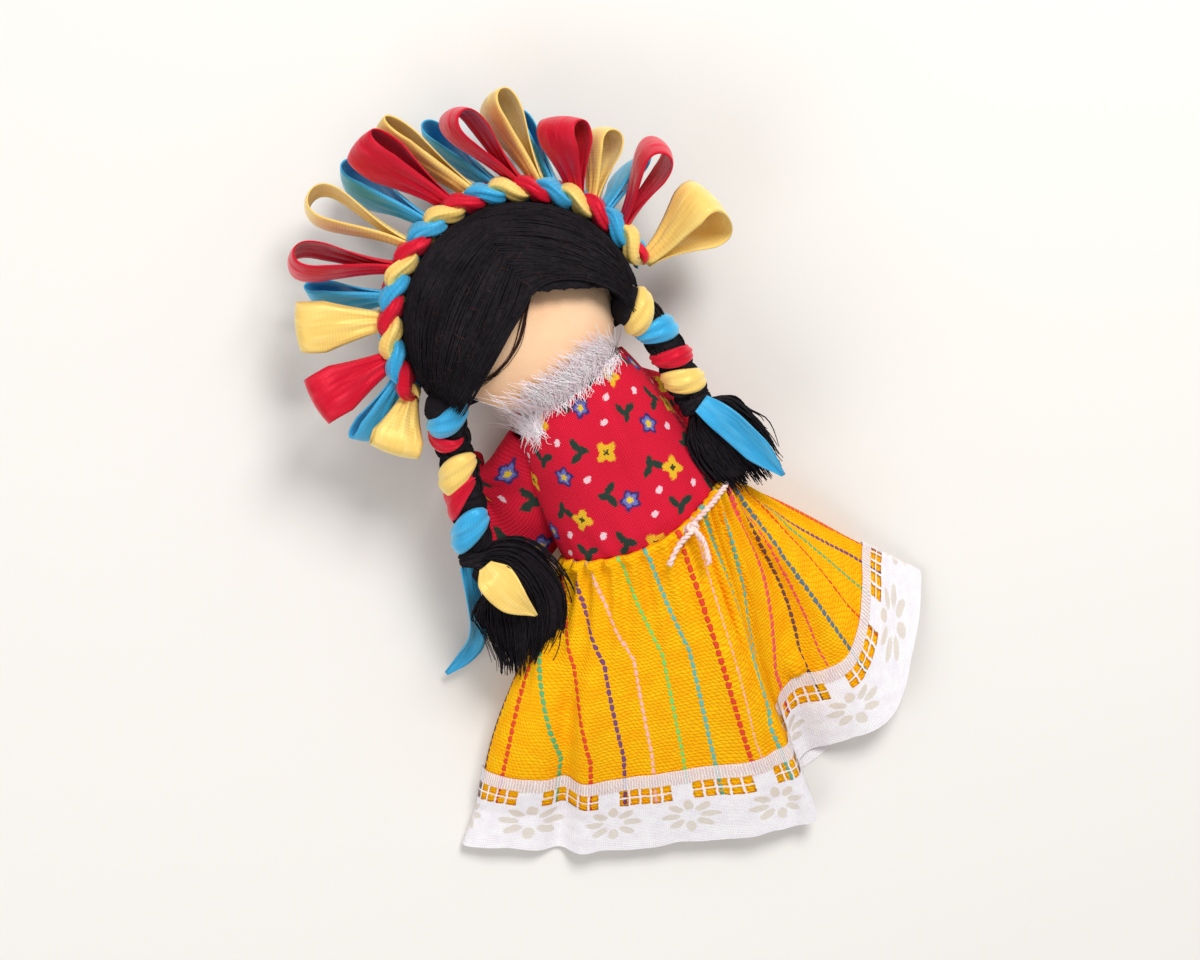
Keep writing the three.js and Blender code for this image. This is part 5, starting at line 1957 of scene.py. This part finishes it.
def ladder_holes(across, down):
    cell = repeat_place(across)
    rung = (cell / RUNG_PITCH).do("FRACT") * RUNG_PITCH
    gap = between(cell, 0.0, GROUP_LONG) * between(rung, 0.35, RUNG_PITCH - 0.1)
    return gap * most([between(down, row - 1.1, row + 1.1) for row in LADDER_ROWS])


def make_lace_material():
    material, tree, shader = new_material("white_lace", 0.85, Specular_IOR_Level=0.15)
    place = cloth_place(tree)
    across, down = astray(place, 0.9, 2, 0.7).parts()
    height = use_group(tree, WEAVE_GROUP, Vector=place, Pitch=0.42, Waver=0.6)["Height"]
    petals = flower_holes(across, down)
    uprights = abs((across * (pi / NET_PITCH)).do("SINE"))
    upper = band(down, NET_DEPTH + 0.3, NET_DEPTH - 0.3)
    gaps = band(uprights, 0.25, 0.7) * upper * 0.42
    net = band(height, 0.4, 0.1) * 0.15
    gone = most([petals * 0.2, ladder_holes(across, down), net, gaps])
    put(tree, shader.inputs["Alpha"], 1 - gone)
    white = blend(band(cloudy(place, 0.4, 3), 0.3, 0.7), srgb(255, 252, 254), srgb(247, 241, 247))
    finish(shader, blend(petals * 0.6, white, srgb(242, 228, 206)), height, 0.0002, 0.5)
    return material


LACE = make_lace_material()
print("lace, mm:", round(LACE_LONG, 1), "x", round(LACE_WIDE, 1))

# %% [markdown]
# The lace is sewn to the skirt a little above its hem and hangs past it, with a scalloped edge.

# %% Hem lace
def make_lace():
    def place(u, v):
        scallop = 0.9 * abs(sin(pi * u * LACE_REPEATS)) * ease(v * 8 - 7)
        down = LACE_START + (LACE_END - LACE_START) * v
        point = skirt_surface(u, min(down, 1.0), 0.75, SKIRT_FLOOR)
        if down > 1.0:
            drop = skirt_point(u, 1.0) - skirt_point(u, 0.96)
            point += drop.normalized() * ((down - 1.0) * SKIRT_LENGTH + scallop)
            point.z = max(point.z, SKIRT_FLOOR)
        return point

    lace = wrap("hem_lace", place, (330, 26), (1, 1), LACE)
    warp_map(lace, lambda u, v: (u * LACE_LONG, v * LACE_WIDE))
    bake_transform(lace)
    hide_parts("skirt_lace")


make_lace()

# %% [markdown]
# A twisted pink drawstring holds the skirt. Two plies wind round each other along the waist and
# down two short tails, and a knot sits where they cross.

# %% Drawstring
CORD_THICKNESS = 1.6
CORD_KNOT_ANGLE = radians(66)
CORD_SHOWS = (radians(20), radians(76))
CORD_PROUD, CORD_HIDDEN = 2.6, 0.5
CORD_TAILS = (
    ((-0.6, -0.6, 0.6), (-4.4, -2, 0.4), (-8.6, -5, 0.2)),
    ((0.2, -1, 0.6), (0.6, -4.6, 0.2), (-0.6, -9.2, -0.4)),
)
PLY = 0.46
PINK = make_mottled(
    "pink_cord", 0.85, 0.2, 700, 0.3, srgb(250, 224, 216), srgb(238, 196, 190), 0.0002, 0.5
)


def cord_point(angle):
    """The cord runs inside the top of the skirt, and shows beside the knot."""
    reach = 0.3 + CORD_THICKNESS / 2
    shown = ease((CORD_SHOWS[1] - angle) / 0.15) * ease((angle - CORD_SHOWS[0]) / 0.15)
    return body_point(angle, reach - waist_dip(angle), reach - CORD_HIDDEN + CORD_PROUD * shown)


def ply_line(points, start, turns):
    """One ply of a two-ply cord along a list of points."""
    line = []
    for index, point in enumerate(points):
        before, after = points[max(index - 1, 0)], points[min(index + 1, len(points) - 1)]
        along = (after - before).normalized()
        side = along.cross(Vector((0.3, 1, 0.2))).normalized()
        angle = start + 2 * pi * turns * index / (len(points) - 1)
        line.append(point + oval(side, along.cross(side), angle) * PLY * 0.8)
    return line


def skirt_top(x, y):
    """The height of the skirt's cloth over a place near its waist."""
    wide, deep, height = body_section(-WAIST_DIP)
    share = max(0, 1 - (x / (wide + WAIST_EASE)) ** 2)
    drop = max(0, -y - WAIST_DIP) / SKIRT_LENGTH
    waist_line = height + (deep + WAIST_EASE) * sqrt(share)
    return waist_line * (1 - drop) + 13 * drop + 10 * drop * (1 - drop)


def make_drawstring():
    ring = [cord_point(2 * pi * t) for t in shares(240)]
    knot = cord_point(CORD_KNOT_ANGLE) + Vector((0, -0.4, CORD_THICKNESS / 2))
    lines = [ply_line(ring, start, 48) for start in (0, pi)]
    for tail in CORD_TAILS:
        run = [knot, *[knot + Vector(offset) for offset in tail]]
        points = [spline(run, t) for t in shares(24)]
        for point in points[4:]:
            point.z = max(point.z, skirt_top(point.x, point.y) + 1.6)
        lines += [ply_line(points, start, 5) for start in (0, pi)]
    for tilt in (-0.5, 0.6):
        turn = Matrix.Rotation(tilt, 3, "Y")
        angles = [2 * pi * t for t in shares(20)]
        loop = [Vector((1.2 * cos(a), 0.9 * sin(a), 0.35 * sin(2 * a))) for a in angles]
        lines.append([knot + turn @ point for point in loop])
    cord = threads("drawstring", lines, 2 * PLY, PINK, taper=False)
    keep(cord, "torso", "pink_cord", "waist_cord")


make_drawstring()
print("cord, mm:", CORD_THICKNESS, "thick")

# %% [markdown]
